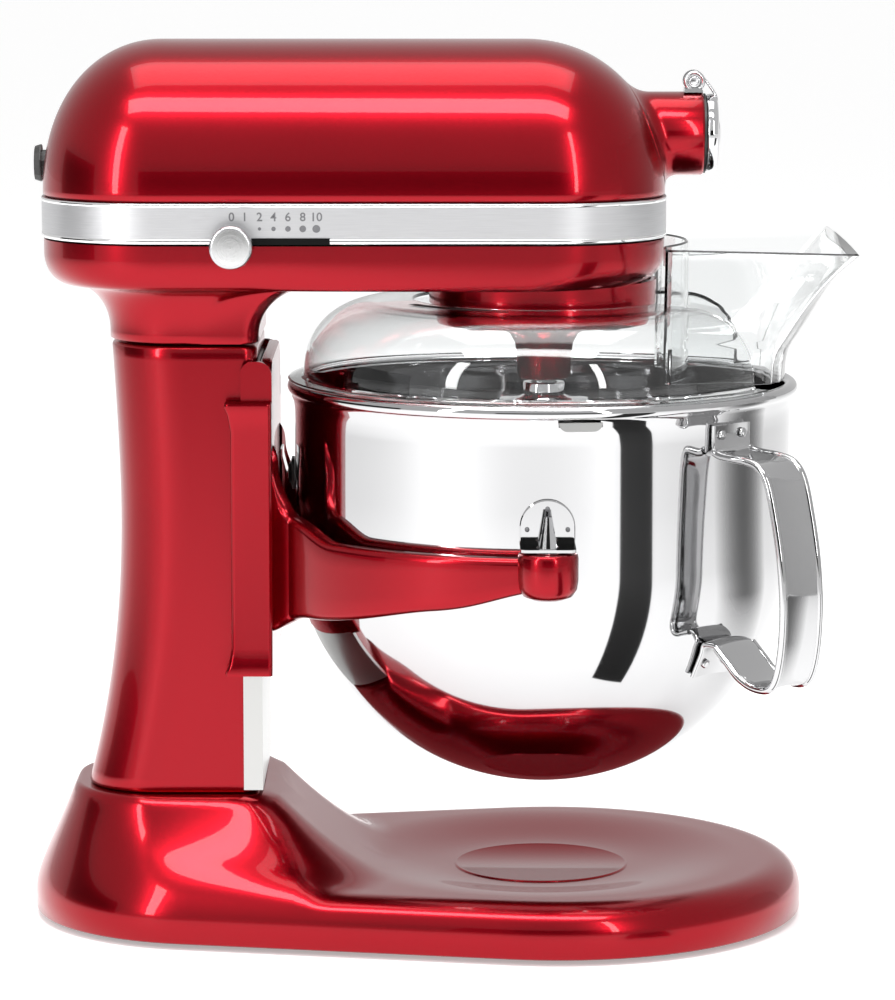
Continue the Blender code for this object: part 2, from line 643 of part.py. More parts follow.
# ---------------------------------------------------------------- attachment hub
def make_hub(looks, root):
    """Steel sleeve in the hub, hinge ear and pin, cover on its hinge, and thumbscrew."""
    outer = HUB_BORE + 0.003 - GAP
    sleeve = turned("hub_sleeve", [(HUB_BORE, 0.036), (HUB_BORE, HUB_FACE - GAP), (outer, HUB_FACE - GAP),
                                   (outer, 0.036)], looks["steel"], root, sides=20, closed=True)
    along_x(sleeve, (0, 0, HUB_HEIGHT))
    hole = turned("sleeve_hole", [(0, 0), (0.0036, 0), (0.0036, 0.02), (0, 0.02)], None, root, sides=10)
    cut(sleeve, along_y(hole, (HUB_FACE - 0.012, 0.008, HUB_HEIGHT)))

    hub_top = HUB_HEIGHT + HUB_RADIUS
    ear = block("hinge_ear", (HUB_PIN_X - 0.0055, -0.0045, hub_top + GAP),
                (HUB_FACE - 0.0006, 0.0045, HUB_PIN_HEIGHT - 0.0004), looks["chrome"], root)
    for side in (-1, 1):
        low = 0.0018 if side > 0 else -0.0045
        high = 0.0045 if side > 0 else -0.0018
        ear_plate = turned(f"ear_plate_{side}", [(0, low), (0.0042, low), (0.0042, high), (0, high)],
                           None, root, sides=14)
        ear_plate.rotation_euler = (math.pi / 2, 0, 0)
        ear_plate.location = (HUB_PIN_X, 0, HUB_PIN_HEIGHT)
        add(ear, ear_plate)
    room = turned("ear_room", [(0, -0.0019), (0.0050, -0.0019), (0.0050, 0.0019), (0, 0.0019)], None,
                  root,
                  sides=14)
    room.rotation_euler = (math.pi / 2, 0, 0)
    room.location = (HUB_PIN_X, 0, HUB_PIN_HEIGHT)
    cut(ear, room)
    pin_hole = turned("ear_pin_hole", [(0, -0.01), (0.0016, -0.01), (0.0016, 0.01), (0, 0.01)], None,
                      root,
                      sides=10)
    pin_hole.rotation_euler = (math.pi / 2, 0, 0)
    pin_hole.location = (HUB_PIN_X, 0, HUB_PIN_HEIGHT)
    cut(ear, pin_hole)
    pin = turned("hinge_pin", [(0, -0.0052), (0.0012, -0.0052), (0.0012, 0.0052), (0, 0.0052)],
                 looks["steel"], root, sides=10)
    pin.rotation_euler = (math.pi / 2, 0, 0)
    pin.location = (HUB_PIN_X, 0, HUB_PIN_HEIGHT)

    hinge = empty("hub_cover_hinge", root, (HUB_PIN_X, 0, HUB_PIN_HEIGHT))
    face = HUB_FACE + GAP - HUB_PIN_X
    cover_radius = HUB_RADIUS - 0.0008
    back = face + HUB_COVER_THICKNESS
    cover = turned("hub_cover", [(0, face), (cover_radius, face), (cover_radius, back - 0.0015),
                                 (cover_radius - 0.0015, back), (0,
                                                                 back)], looks["chrome"], hinge, sides=24)
    along_x(cover, (0, 0, HUB_HEIGHT - HUB_PIN_HEIGHT))
    knuckle = turned("cover_knuckle", [(0, -0.0015), (0.0038, -0.0015), (0.0038, 0.0015), (0, 0.0015)],
                     None, hinge, sides=14)
    knuckle.rotation_euler = (math.pi / 2, 0, 0)
    arm_outline = [(0.0010, -0.0012), (0.0036, -0.0012), (0.0095, -0.0085), (0.0095, -0.0120),
                   (face + 0.0006, -0.0120), (face + 0.0006, -0.0046), (0.0026, -0.0020)]
    arm = prism("cover_arm", [(x, z) for x, z in reversed(arm_outline)], -0.0015, 0.0015, None, hinge)
    arm.rotation_euler = (math.pi / 2, 0, 0)
    add(cover, knuckle)
    add(cover, arm)
    cover_hole = turned("cover_pin_hole", [(0, -0.01), (0.0016, -0.01), (0.0016, 0.01), (0, 0.01)], None,
                        hinge, sides=10)
    cover_hole.rotation_euler = (math.pi / 2, 0, 0)
    cut(cover, cover_hole)

    screw_axis = empty("thumbscrew_axis", root, (HUB_FACE - 0.012, 0, HUB_HEIGHT))
    stem = 0.0036 - GAP
    tip = HUB_BORE + 0.0015
    grip = HUB_RADIUS + 0.003
    screw = turned("hub_thumbscrew", [(0, tip), (stem, tip), (stem, grip), (0.0050, grip),
                                      (0.0085, grip + 0.003), (0.0085, grip + 0.013),
                                      (0.0070, grip + 0.015), (0, grip + 0.015)],
                   looks["black"], screw_axis, sides=12)
    along_y(screw, (0, 0, 0))


# ---------------------------------------------------------------- gears
def tooth_outline(teeth, root_radius, tip_radius, first, root_half=0.36, tip_half=0.10):
    """Outline of a gear; first is the angle of the middle of one tooth."""
    pitch = 2 * math.pi / teeth
    points = []
    for i in range(teeth):
        middle = first + i * pitch
        for radius, offset in ((root_radius, -root_half), (tip_radius, -tip_half),
                               (tip_radius, tip_half), (root_radius, root_half)):
            a = middle + offset * pitch
            points.append((radius * math.cos(a), radius * math.sin(a)))
    return points


def make_gear(name, teeth, pitch_radius, module, low, high, first, look, parent, taper=1.0):
    """A straight or bevel gear between two heights; taper is the size at the high end."""
    outline = tooth_outline(teeth, pitch_radius - 1.05 * module, pitch_radius + 0.75 * module, first)
    rings = [level(outline, low), [(x * taper, y * taper, high) for x, y in outline]]
    return skin(name, rings, look, parent, sharp=30)


def make_ring_gear(looks, root):
    """Internal ring gear, fixed in the gear housing; a gap faces the planet pinion."""
    pitch = 2 * math.pi / RING_TEETH
    first = -math.pi / 2 + pitch / 2
    inner = tooth_outline(RING_TEETH, RING_PITCH + 1.05 * RING_MODULE, RING_PITCH - 0.75 * RING_MODULE,
                          first, 0.33, 0.14)
    outside = HOUSING_RADIUS - 0.0025 - GAP
    made = bmesh.new()
    walls = []
    for height in (HOUSING_BOTTOM + 0.003, HOUSING_BOTTOM + 0.0105):
        inside = [made.verts.new((x, y, height)) for x, y in inner]
        edge = []
        for i in range(RING_TEETH):
            a = first + (i - 0.5) * pitch
            edge.append(made.verts.new((outside * math.cos(a), outside * math.sin(a), height)))
        walls.append((inside, edge))
    (low_in, low_out), (high_in, high_out) = walls
    for i in range(RING_TEETH):
        j = (i + 1) % RING_TEETH
        a = 4 * i
        b = (a + 4) % len(low_in)
        made.faces.new((low_out[i], low_out[j], high_out[j], high_out[i]))
        for inside, edge in walls:
            made.faces.new((edge[i], inside[a], inside[a + 1], inside[a + 2], inside[a + 3], edge[j]))
            made.faces.new((inside[a + 3], inside[b], edge[j]))
        for k in range(4):
            m = (a + k + 1) % len(low_in)
            made.faces.new((low_in[a + k], low_in[m], high_in[m], high_in[a + k]))
    return object_from("ring_gear", made, looks["steel"], root, 30)


def make_planetary(looks, root):
    """Gear housing, ring gear, and the planetary with its beater shaft."""
    housing_inner = HOUSING_RADIUS - 0.0025
    top = HEAD_BOTTOM - 0.0005 - GAP
    turned("gear_housing", [(housing_inner, HOUSING_BOTTOM), (HOUSING_RADIUS - 0.001, HOUSING_BOTTOM),
                            (HOUSING_RADIUS, HOUSING_BOTTOM + 0.001), (HOUSING_RADIUS, top),
                            (housing_inner, top)],
           looks["paint"], root, sides=36, closed=True)
    make_ring_gear(looks, root)

    spin = empty("planetary_axis", root)
    carrier_top = HOUSING_BOTTOM + 0.0010
    edge = HOUSING_RADIUS - 0.007
    shaft = 0.0058
    carrier = turned("planet_carrier", [(0, PLANET_BOTTOM), (edge - 0.003, PLANET_BOTTOM),
                                        (edge, PLANET_BOTTOM + 0.003), (edge, carrier_top), (0.0,
                                                                                             carrier_top)],
                     looks["paint"], spin, sides=32)
    bearing = turned("beater_boss", [(0, 0.2625), (0.0115, 0.2625), (0.0128, 0.2640),
                                     (0.0128, PLANET_BOTTOM + 0.0035), (0, PLANET_BOTTOM + 0.0035)],
                     None, spin, sides=18)
    bearing.location = (BEATER_X, BEATER_Y, 0)
    add(carrier, bearing)
    hole = turned("beater_hole", [(0, 0.25), (0.0062, 0.25), (0.0062, 0.31), (0, 0.31)], None, spin,
                  sides=14)
    hole.location = (BEATER_X, BEATER_Y, 0)
    cut(carrier, hole)
    centre_hole = turned("centre_hole", [(0, 0.289), (shaft + GAP, 0.289), (shaft + GAP, 0.31),
                                         (0, 0.31)],
                         None, spin, sides=14)
    cut(carrier, centre_hole)
    turned("centre_shaft", [(0, 0.2895), (shaft, 0.2895), (shaft, BEVEL_PLANE + 0.006),
                            (0, BEVEL_PLANE + 0.006)],
           looks["steel"], spin, sides=14)
    low = BEVEL_PLANE - 0.016
    gear = make_gear("centre_gear", CENTRE_TEETH, CENTRE_PITCH, DRIVE_MODULE, low, low + 0.008,
                     math.atan2(DRIVE_Y, DRIVE_X), looks["steel"], spin)
    web = turned("centre_web", [(0, low + 0.004), (CENTRE_BEVEL_PITCH - 0.004, low + 0.004),
                                (CENTRE_BEVEL_PITCH - 0.003, BEVEL_PLANE - 0.001), (0,
                                                                                    BEVEL_PLANE - 0.001)],
                 None, spin, sides=20)
    add(gear, web)
    bevel = make_gear("centre_bevel", CENTRE_BEVEL_TEETH, CENTRE_BEVEL_PITCH - 0.0022, BEVEL_MODULE,
                      BEVEL_PLANE - 0.004, BEVEL_PLANE + 0.0005, math.pi / CENTRE_BEVEL_TEETH, None,
                      spin, CENTRE_TAPER)
    add(gear, bevel)
    gear_hole = turned("centre_gear_hole", [(0, 0.3), (shaft + GAP, 0.3), (shaft + GAP, 0.39),
                                            (0, 0.39)], None,
                       spin, sides=14)
    cut(gear, gear_hole)

    beater = empty("beater_axis", spin, (BEATER_X, BEATER_Y, 0))
    pinion_low, pinion_high = HOUSING_BOTTOM + 0.0032, HOUSING_BOTTOM + 0.0102
    drive_end = HOOK_DISC_HEIGHT - 0.006
    radius = 0.0058
    shaft_top = pinion_low - 0.0012
    agitator = turned("beater_shaft", [(0, drive_end), (radius - 0.0008, drive_end),
                                       (radius, drive_end + 0.0008),
                                       (radius, shaft_top), (0, shaft_top)],
                      looks["steel"], beater, sides=14)
    cross = turned("cross_pin", [(0, -0.0085), (0.0014, -0.0085), (0.0014, 0.0085), (0, 0.0085)], None,
                   beater,
                   sides=8)
    cross.rotation_euler = (0, math.pi / 2, 0)
    cross.location = (0, 0, HOOK_DISC_HEIGHT + 0.004)
    add(agitator, cross)
    pinion = make_gear("planet_pinion", PLANET_TEETH, PLANET_PITCH, RING_MODULE, pinion_low, pinion_high,
                       -math.pi / 2, looks["steel"], beater)
    journal = turned("pinion_journal", [(0, shaft_top + GAP), (radius - 0.001, shaft_top + GAP),
                                        (radius - 0.001, pinion_high + 0.003), (0, pinion_high + 0.003)],
                     None, beater, sides=14)
    add(pinion, journal)
    return beater


def make_drive(looks, root):
    """Worm wheel with its pinion, the bracket that carries them, and the hub's bevel gear."""
    axis = empty("worm_wheel_axis", root, (DRIVE_X, DRIVE_Y, 0))
    low = BEVEL_PLANE - 0.016
    facing = math.atan2(-DRIVE_Y, -DRIVE_X)
    pinion = make_gear("drive_pinion", DRIVE_TEETH, DRIVE_PITCH, DRIVE_MODULE, low, low + 0.008,
                       facing + math.pi / DRIVE_TEETH, looks["steel"], axis)
    wheel_low = MOTOR_HEIGHT - 0.0045
    shaft_top = wheel_low + 0.0165
    shaft = turned("pinion_shaft", [(0, low - 0.010), (0.0042, low - 0.010), (0.0042, shaft_top),
                                    (0, shaft_top)],
                   None, axis, sides=12)
    add(pinion, shaft)
    wheel = make_gear("worm_wheel", WORM_WHEEL_TEETH, WORM_WHEEL_RADIUS - 0.0011, 0.0015, wheel_low,
                      wheel_low + 0.009, 0.0, looks["brass"], axis)
    wheel_hole = turned("wheel_hole", [(0, 0.3), (0.0042 + GAP, 0.3), (0.0042 + GAP, 0.4), (0, 0.4)],
                        None, axis,
                        sides=12)
    cut(wheel, wheel_hole)

    rail = 0.004
    foot_low = HEAD_BOTTOM + HEAD_WALL + GAP
    plate = block("gear_bracket", (DRIVE_X - 0.017, DRIVE_Y - 0.012, low - 0.009),
                  (DRIVE_X + 0.010, DRIVE_Y + 0.028, low - 0.002), looks["steel"], root)
    post = block("bracket_post", (DRIVE_X - 0.017, DRIVE_Y + 0.020, foot_low),
                 (DRIVE_X + 0.002, DRIVE_Y + 0.028, low - 0.004), None, root)
    add(plate, post)
    bracket_hole = turned("bracket_hole", [(0, 0.3), (0.0042 + RUN, 0.3), (0.0042 + RUN, 0.4),
                                           (0, 0.4)], None,
                          root, sides=12)
    bracket_hole.location = (DRIVE_X, DRIVE_Y, 0)
    cut(plate, bracket_hole)

    hub_axis = empty("hub_drive_axis", root, (0, 0, HUB_HEIGHT))
    large_x = CENTRE_BEVEL_PITCH
    gear = make_gear("hub_gear", HUB_BEVEL_TEETH, HUB_BEVEL_PITCH - 0.0022, BEVEL_MODULE, -large_x,
                     -large_x + 0.006,
                     0.0, looks["steel"], hub_axis, BEVEL_TAPER)
    gear.rotation_euler = (0, -math.pi / 2, 0)
    socket = 0.0085
    shaft_tip = HUB_FACE - 0.028
    drive = turned("hub_drive_shaft", [(0, large_x - 0.005), (0.006, large_x - 0.005),
                                       (0.006, large_x + 0.004),
                                       (0.0115, large_x + 0.009), (0.0115, shaft_tip), (0, shaft_tip)],
                   looks["steel"], hub_axis, sides=16)
    along_x(drive, (0, 0, 0))
    square = block("drive_socket", (shaft_tip - 0.014, -socket / 2, -socket / 2),
                   (shaft_tip + 0.01, socket / 2, socket / 2), None, hub_axis)
    cut(drive, square)
    gear_hole = turned("hub_gear_hole", [(0, 0.0), (0.006 + GAP, 0.0), (0.006 + GAP, 0.05), (0, 0.05)],
                       None,
                       hub_axis, sides=16)
    along_x(gear_hole, (0, 0, 0))
    cut(gear, gear_hole)


# ---------------------------------------------------------------- motor
def make_motor(looks, root):
    """Stator, bearing plates, brush holders, and the armature with its worm and fan."""
    back = MOTOR_MIDDLE - MOTOR_LENGTH / 2
    front = MOTOR_MIDDLE + MOTOR_LENGTH / 2
    place = (0, WORM_Y, MOTOR_HEIGHT)
    bore = 0.0245
    stator = turned("motor_stator", [(bore, back), (MOTOR_RADIUS, back), (MOTOR_RADIUS, front),
                                     (bore, front)],
                    looks["steel"], root, sides=24, closed=True)
    along_x(stator, place)

    for name, x in (("rear_bearing_plate", back - 0.022), ("front_bearing_plate", front + 0.022)):
        plate = turned(name, [(0.0046, x), (MOTOR_RADIUS - 0.003, x), (MOTOR_RADIUS - 0.003, x + 0.004),
                              (0.0046, x + 0.004)], looks["steel"], root, sides=20, closed=True)
        along_x(plate, place)
    for side, name in ((-1, "brush_holder_right"), (1, "brush_holder_left")):
        near, far = 0.0145, 0.033
        ys = sorted((WORM_Y + side * near, WORM_Y + side * far))
        block(name, (back - 0.014, ys[0], MOTOR_HEIGHT - 0.0045), (back - 0.004, ys[1],
                                                                   MOTOR_HEIGHT + 0.0045),
              looks["brass"], root)

    axis = empty("armature_axis", root, place)
    core = turned("armature", [(0.0045 + GAP, back + 0.002), (bore - 0.0008, back + 0.002),
                               (bore - 0.0008, front - 0.002), (0.0045 + GAP, front - 0.002)],
                  looks["copper"], axis, sides=20, closed=True)
    along_x(core, (0, 0, 0))
    commutator = turned("commutator", [(0.0045 + GAP, back - 0.015), (0.0135, back - 0.015),
                                       (0.0135, back - 0.003), (0.0045 + GAP, back - 0.003)],
                        looks["copper"], axis, sides=16, closed=True)
    along_x(commutator, (0, 0, 0))
    fan_outline = tooth_outline(9, 0.012, 0.031, 0.0, 0.20, 0.12)
    fan = prism("cooling_fan", fan_outline, front + 0.006, front + 0.016, looks["black"], axis)
    along_x(fan, (0, 0, 0))
    fan_hole = turned("fan_hole", [(0, front), (0.0045 + GAP, front), (0.0045 + GAP, front + 0.03),
                                   (0, front + 0.03)],
                      None, axis, sides=12)
    cut(fan, along_x(fan_hole, (0, 0, 0)))
    make_worm_shaft(looks, axis, back, front)


def make_worm_shaft(looks, axis, back, front):
    """Motor shaft: plain through the armature, with the worm's threads at its front end."""
    radius = 0.0042
    worm_low, worm_high = DRIVE_X - WORM_LENGTH / 2, DRIVE_X + WORM_LENGTH / 2
    shaft = turned("motor_shaft", [(0, back - 0.030), (radius, back - 0.030), (radius, worm_low + 0.001),
                                   (0, worm_low + 0.001)], looks["steel"], axis, sides=12)
    along_x(shaft, (0, 0, 0))
    rings = []
    stations = 18
    lead = 2 * math.pi * WORM_WHEEL_RADIUS * WORM_STARTS / WORM_WHEEL_TEETH
    points = 5 * WORM_STARTS
    for s in range(stations + 1):
        share = s / stations
        twist = -2 * math.pi * share * WORM_LENGTH / lead
        ring = []
        for i in range(points):
            a = 2 * math.pi * i / points
            crest = WORM_RADIUS if i % 5 in (0, 1) else WORM_RADIUS - 0.0022
            ring.append((crest * math.cos(a + twist), crest * math.sin(a + twist),
                         worm_low + (worm_high - worm_low) * share))
        rings.append(ring)
    worm = skin("worm_thread", rings, None, axis, sharp=30)
    along_x(worm, (0, 0, 0))
    add(shaft, worm)


# ---------------------------------------------------------------- controls
def make_controls(looks, root):
    """Speed knob on its sliding arm, the speed board, and the cord's inlet."""
    slide = empty("speed_slide", root, (KNOB_X, -HEAD_HALF_WIDTH, BAND_BOTTOM))
    knob = turned("speed_knob", [(0, 0.0014), (KNOB_RADIUS - 0.001, 0.0014), (KNOB_RADIUS, 0.0024),
                                 (KNOB_RADIUS, 0.0115), (KNOB_RADIUS - 0.0008, 0.0125), (0, 0.0125)],
                  looks["band"], slide, sides=24)
    along_y(knob, (0, 0, 0), -1)
    arm = block("speed_arm", (-0.0018, -0.0011, -0.0018), (0.0018, 0.0180, 0.0018), looks["steel"], slide)
    plate = block("speed_arm_plate", (-0.012, 0.0150, -0.0045), (0.012, 0.0172, 0.0060), None, slide)
    add(arm, plate)

    board_y = -HEAD_HALF_WIDTH + 0.0200
    block("speed_board", (KNOB_X - 0.020, board_y, BAND_BOTTOM - 0.006),
          (KNOB_X + SPEED_TRAVEL + 0.020, board_y + 0.0016, BAND_BOTTOM + 0.006), looks["board"], root)
    inlet = turned("cord_inlet", [(0.0036, -0.0035), (0.0080, -0.0035), (0.0088, -0.0010), (0.0088, -GAP),
                                  (0.0062, -GAP), (0.0062, 0.010), (0.0036, 0.010)],
                   looks["black"], root, sides=14, closed=True)
    along_x(inlet, (HEAD_REAR, 0, BAND_TOP + 0.014))


# ---------------------------------------------------------------- bowl support and lever
def make_track(looks, root):
    """Polished slide track: a channel over the column's front, slotted for the tongue."""
    half = COLUMN_HALF_WIDTH + GAP
    outer = half + TRACK_THICKNESS
    back = COLUMN_FRONT + GAP
    rear = TRACK_FACE - TRACK_DEPTH
    outline = [(rear, -outer), (TRACK_FACE, -outer), (TRACK_FACE, outer), (rear, outer), (rear, half),
               (back, half), (back, -half), (rear, -half)]
    track = prism("slide_track", outline, TRACK_BOTTOM, TRACK_TOP, looks["chrome"], root)
    return cut(track, tongue_slot("track_slot", 0.0080, root))


def arm_sections():
    """Places along one arm of the bowl support: x, y, low, high."""
    root_x, root_y = WEB_BACK + 0.002, BAR_INSIDE + 0.003
    tip_y = PIN_Y
    return [(root_x, root_y, SUPPORT_BOTTOM + 0.029, 0.2010),
            (-0.1145, 0.0700, SUPPORT_BOTTOM + 0.030, 0.1930),
            (-0.0945, 0.0880, SUPPORT_BOTTOM + 0.032, 0.1915),
            (-0.0720, tip_y - 0.0270, SUPPORT_BOTTOM + 0.035, 0.1905),
            (-0.0480, tip_y - 0.0105, SUPPORT_BOTTOM + 0.040, 0.1900),
            (-0.0240, tip_y - 0.0015, SUPPORT_BOTTOM + 0.045, 0.1900),
            (-0.0040, tip_y, BOSS_TOP - BOSS_HEIGHT + 0.002, 0.1900)]


def make_arm(name, side, parent):
    """One arm of the bowl support, as a bar bent round the bowl."""
    sections = arm_sections()
    half = 0.0048
    rings = []
    for i, (x, y, low, high) in enumerate(sections):
        before = sections[max(i - 1, 0)]
        after = sections[min(i + 1, len(sections) - 1)]
        along = Vector((after[0] - before[0], after[1] - before[1])).normalized()
        across = Vector((-along.y, along.x)) * half
        corner = 0.0022
        ring = []
        for reach, height in ((-1, low + corner), (-0.6, low), (0.6, low), (1, low + corner),
                              (1, high - corner), (0.6, high), (-0.6, high), (-1, high - corner)):
            ring.append((x + across.x * reach, side * (y + across.y * reach), height))
        rings.append(ring)
    return skin(name, rings, None, parent)


def make_support(looks, carriage):
    """The bowl support: web, bars that wrap the track, arms and bosses, with its pins."""
    web_half = BAR_INSIDE + BAR_WIDTH
    outline = [(-web_half, SUPPORT_BOTTOM), (web_half, SUPPORT_BOTTOM), (web_half, BAR_TOP),
               (web_half - 0.006, BAR_TOP + 0.010)]
    for degrees in (20, 50, 90):
        a = math.radians(degrees)
        outline.append((web_half - 0.020 + 0.010 * math.cos(a),
                        SUPPORT_TOP - 0.010 + 0.010 * math.sin(a)))
    mirrored = [(-y, z) for y, z in reversed(outline) if y > 0 and z > SUPPORT_BOTTOM]
    outline = outline + mirrored
    rings = [[(x, y, z) for y, z in outline] for x in (WEB_BACK, WEB_FACE)]
    support = skin("bowl_support", rings, looks["paint"], carriage)
    for side in (-1, 1):
        ys = sorted((side * BAR_INSIDE, side * web_half))
        bar = block(f"support_bar_{side}", (WEB_BACK - BAR_DEPTH, ys[0], SUPPORT_BOTTOM),
                    (WEB_BACK + 0.001, ys[1], BAR_TOP), None, carriage)
        add(support, bar)
        add(support, make_arm(f"support_arm_{side}", side, carriage))
        boss = turned(f"support_boss_{side}", [(0, BOSS_TOP - BOSS_HEIGHT), (BOSS_RADIUS - 0.003,
                                                                             BOSS_TOP - BOSS_HEIGHT),
                                               (BOSS_RADIUS, BOSS_TOP - BOSS_HEIGHT + 0.004),
                                               (BOSS_RADIUS, BOSS_TOP - 0.001), (BOSS_RADIUS - 0.001,
                                                                                 BOSS_TOP),
                                               (0, BOSS_TOP)], None, carriage, sides=18)
        boss.location = (0, side * PIN_Y, 0)
        add(support, boss)
    bowl_room = turned("bowl_room", [(0, 0.10), (BOWL_RADIUS + 0.0022, 0.10), (BOWL_RADIUS + 0.0022,
                                                                               0.30), (0, 0.30)],
                       None, carriage, sides=48)
    cut(support, bowl_room)
    for side in (-1, 1):
        socket = turned(f"pin_socket_{side}", [(0, BOSS_TOP - 0.010), (0.0026 + GAP, BOSS_TOP - 0.010),
                                               (0.0026 + GAP, BOSS_TOP + 0.01), (0, BOSS_TOP + 0.01)],
                        None, carriage, sides=10)
        socket.location = (0, side * PIN_Y, 0)
        cut(support, socket)
        name = "locating_pin_right" if side < 0 else "locating_pin_left"
        pin = turned(name, [(0, BOSS_TOP - 0.0095), (0.0026, BOSS_TOP - 0.0095), (0.0026, BOSS_TOP + GAP),
                            (0.0045, BOSS_TOP + GAP), (0.0026, BOSS_TOP + 0.011), (0.0018,
                                                                                   BOSS_TOP + 0.016),
                            (0, BOSS_TOP + 0.016)], looks["chrome"], carriage, sides=14)
        pin.location = (0, side * PIN_Y, 0)
    make_tongue(looks, carriage)
    make_latch(looks, carriage)


def make_tongue(looks, carriage):
    """Steel tongue behind the support; the crank's pin works in its level slot."""
    half = 0.0028
    tongue = block("lift_tongue", (LEVER_AXIS_X + 0.0065, -half, TONGUE_HEIGHT - 0.010),
                   (WEB_BACK - GAP, half, TONGUE_HEIGHT + 0.010), looks["steel"], carriage)
    reach = CRANK_RADIUS
    slot_low = LEVER_AXIS_X + reach * math.cos(LEVER_TURN / 2) - 0.0042
    slot_high = LEVER_AXIS_X + reach + 0.0042
    slot = block("tongue_slot", (slot_low, -0.01, TONGUE_HEIGHT - 0.0044),
                 (slot_high, 0.01, TONGUE_HEIGHT + 0.0044), None, carriage)
    return cut(tongue, slot)


def make_latch(looks, carriage):
    """Spring latch at the back of the bowl, hinged at its foot on the support's web."""
    foot = (WEB_FACE + 0.0011, 0.188)
    hinge = empty("rear_latch_hinge", carriage, (foot[0], 0, foot[1]))
    path = [(0.0, -0.006), (0.0, 0.004), (0.0036, 0.010), (0.0036, 0.026), (0.0016, 0.034),
            (0.0016, 0.0375)]
    thick = 0.0010
    rings = []
    for x, z in path:
        rings.append([(x - thick / 2, -0.009, z), (x + thick / 2, -0.009, z), (x + thick / 2, 0.009, z),
                      (x - thick / 2, 0.009, z)])
    return skin("rear_latch", rings, looks["chrome"], hinge)


def make_lever(looks, root):
    """Lever outside the column, and its shaft and crank inside."""
    axis = empty("lift_lever_axis", root, (LEVER_AXIS_X, 0, LEVER_AXIS_HEIGHT))
    shaft_radius = 0.005
    outside = COLUMN_HALF_WIDTH + 0.016
    shaft = turned("lift_shaft", [(0, 0.0036), (shaft_radius, 0.0036), (shaft_radius, outside + 0.003),
                                  (0, outside + 0.003)], looks["steel"], axis, sides=14)
    along_y(shaft, (0, 0, 0))
    pin_angle = LEVER_TURN / 2
    pin_place = (CRANK_RADIUS * math.cos(pin_angle), CRANK_RADIUS * math.sin(pin_angle))
    web = []
    for i in range(9):
        a = pin_angle + math.pi / 2 + math.pi * i / 8
        web.append((0.0075 * math.cos(a), 0.0075 * math.sin(a)))
    for i in range(7):
        a = pin_angle - math.pi / 2 + math.pi * i / 6
        web.append((pin_place[0] + 0.005 * math.cos(a), pin_place[1] + 0.005 * math.sin(a)))
    crank_outline = [(x, -z) for x, z in web]
    crank = prism("crank_web", crank_outline, 0.0036, 0.0086, None, axis)
    crank.rotation_euler = (-math.pi / 2, 0, 0)
    add(shaft, crank)
    pin = turned("crank_pin", [(0, -0.0060), (0.0028, -0.0060), (0.0028, 0.0060), (0, 0.0060)], None,
                 axis, sides=12)
    pin.rotation_euler = (-math.pi / 2, 0, 0)
    pin.location = (pin_place[0], 0, pin_place[1])
    add(shaft, pin)

    hub_low, hub_high = COLUMN_HALF_WIDTH + 0.0155, COLUMN_HALF_WIDTH + 0.0225
    arm = turned("lift_lever", [(0, hub_low), (0.0095, hub_low), (0.0095, hub_high), (0, hub_high)],
                 looks["chrome"], axis, sides=18)
    along_y(arm, (0, 0, 0))
    lean = LEVER_TURN + math.radians(2)
    reach = LEVER_LENGTH - 0.024
    bar_rings = []
    for distance, half in ((0.003, 0.0075), (reach * 0.5, 0.0055), (reach, 0.0045)):
        centre = Vector((distance * math.cos(lean), distance * math.sin(lean)))
        across = Vector((-math.sin(lean), math.cos(lean))) * half
        ring = []
        for reach_across, y in ((-1, hub_low), (1, hub_low), (1, hub_high - 0.0015), (-1,
                                                                                      hub_high - 0.0015)):
            ring.append((centre.x + across.x * reach_across, y, centre.y + across.y * reach_across))
        bar_rings.append(ring)
    add(arm, skin("lever_bar", bar_rings, None, axis))
    bore = turned("lever_bore", [(0, 0.04), (shaft_radius + GAP, 0.04), (shaft_radius + GAP,
                                                                         outside + 0.0035),
                                 (0, outside + 0.0035)], None, axis, sides=14)
    cut(arm, along_y(bore, (0, 0, 0)))

    grip = turned("lever_grip", [(0, reach + GAP), (0.0065, reach + GAP), (0.0085, reach + 0.006),
                                 (0.0085, LEVER_LENGTH - 0.005), (0.006, LEVER_LENGTH), (0,
                                                                                         LEVER_LENGTH)],
                  looks["black"], axis, sides=14)
    grip.rotation_euler = (0, math.pi / 2 - lean, 0)
    grip.location = (0, (hub_low + hub_high) / 2 + 0.0030, 0)

    bush = turned("lever_bush", [(shaft_radius + RUN, 0.040), (0.0075 - GAP, 0.040),
                                 (0.0075 - GAP, COLUMN_HALF_WIDTH + GAP), (0.0100,
                                                                           COLUMN_HALF_WIDTH + GAP),
                                 (0.0100, COLUMN_HALF_WIDTH + 0.004), (shaft_radius + RUN,
                                                                       COLUMN_HALF_WIDTH + 0.004)],
                  looks["brass"], root, sides=14, closed=True)
    along_y(bush, (LEVER_AXIS_X, 0, LEVER_AXIS_HEIGHT))


# ---------------------------------------------------------------- bowl and its fittings
def bowl_profile(radius, bottom):
    """Wall of the bowl from the middle of its bottom up to the rim."""
    points = [(0.0, bottom)]
    for degrees in (24, 38, 52, 65, 77, 90):
        a = math.radians(degrees)
        points.append((radius * math.sin(a), bottom + BOWL_ROUND * (1 - math.cos(a))))
    return points


def wall_radius(height):
    """Outside radius of the bowl at a height."""
    middle = BOWL_BOTTOM + BOWL_ROUND
    if height >= middle:
        return BOWL_RADIUS
    return BOWL_RADIUS * math.sqrt(1 - ((middle - height) / BOWL_ROUND) ** 2)


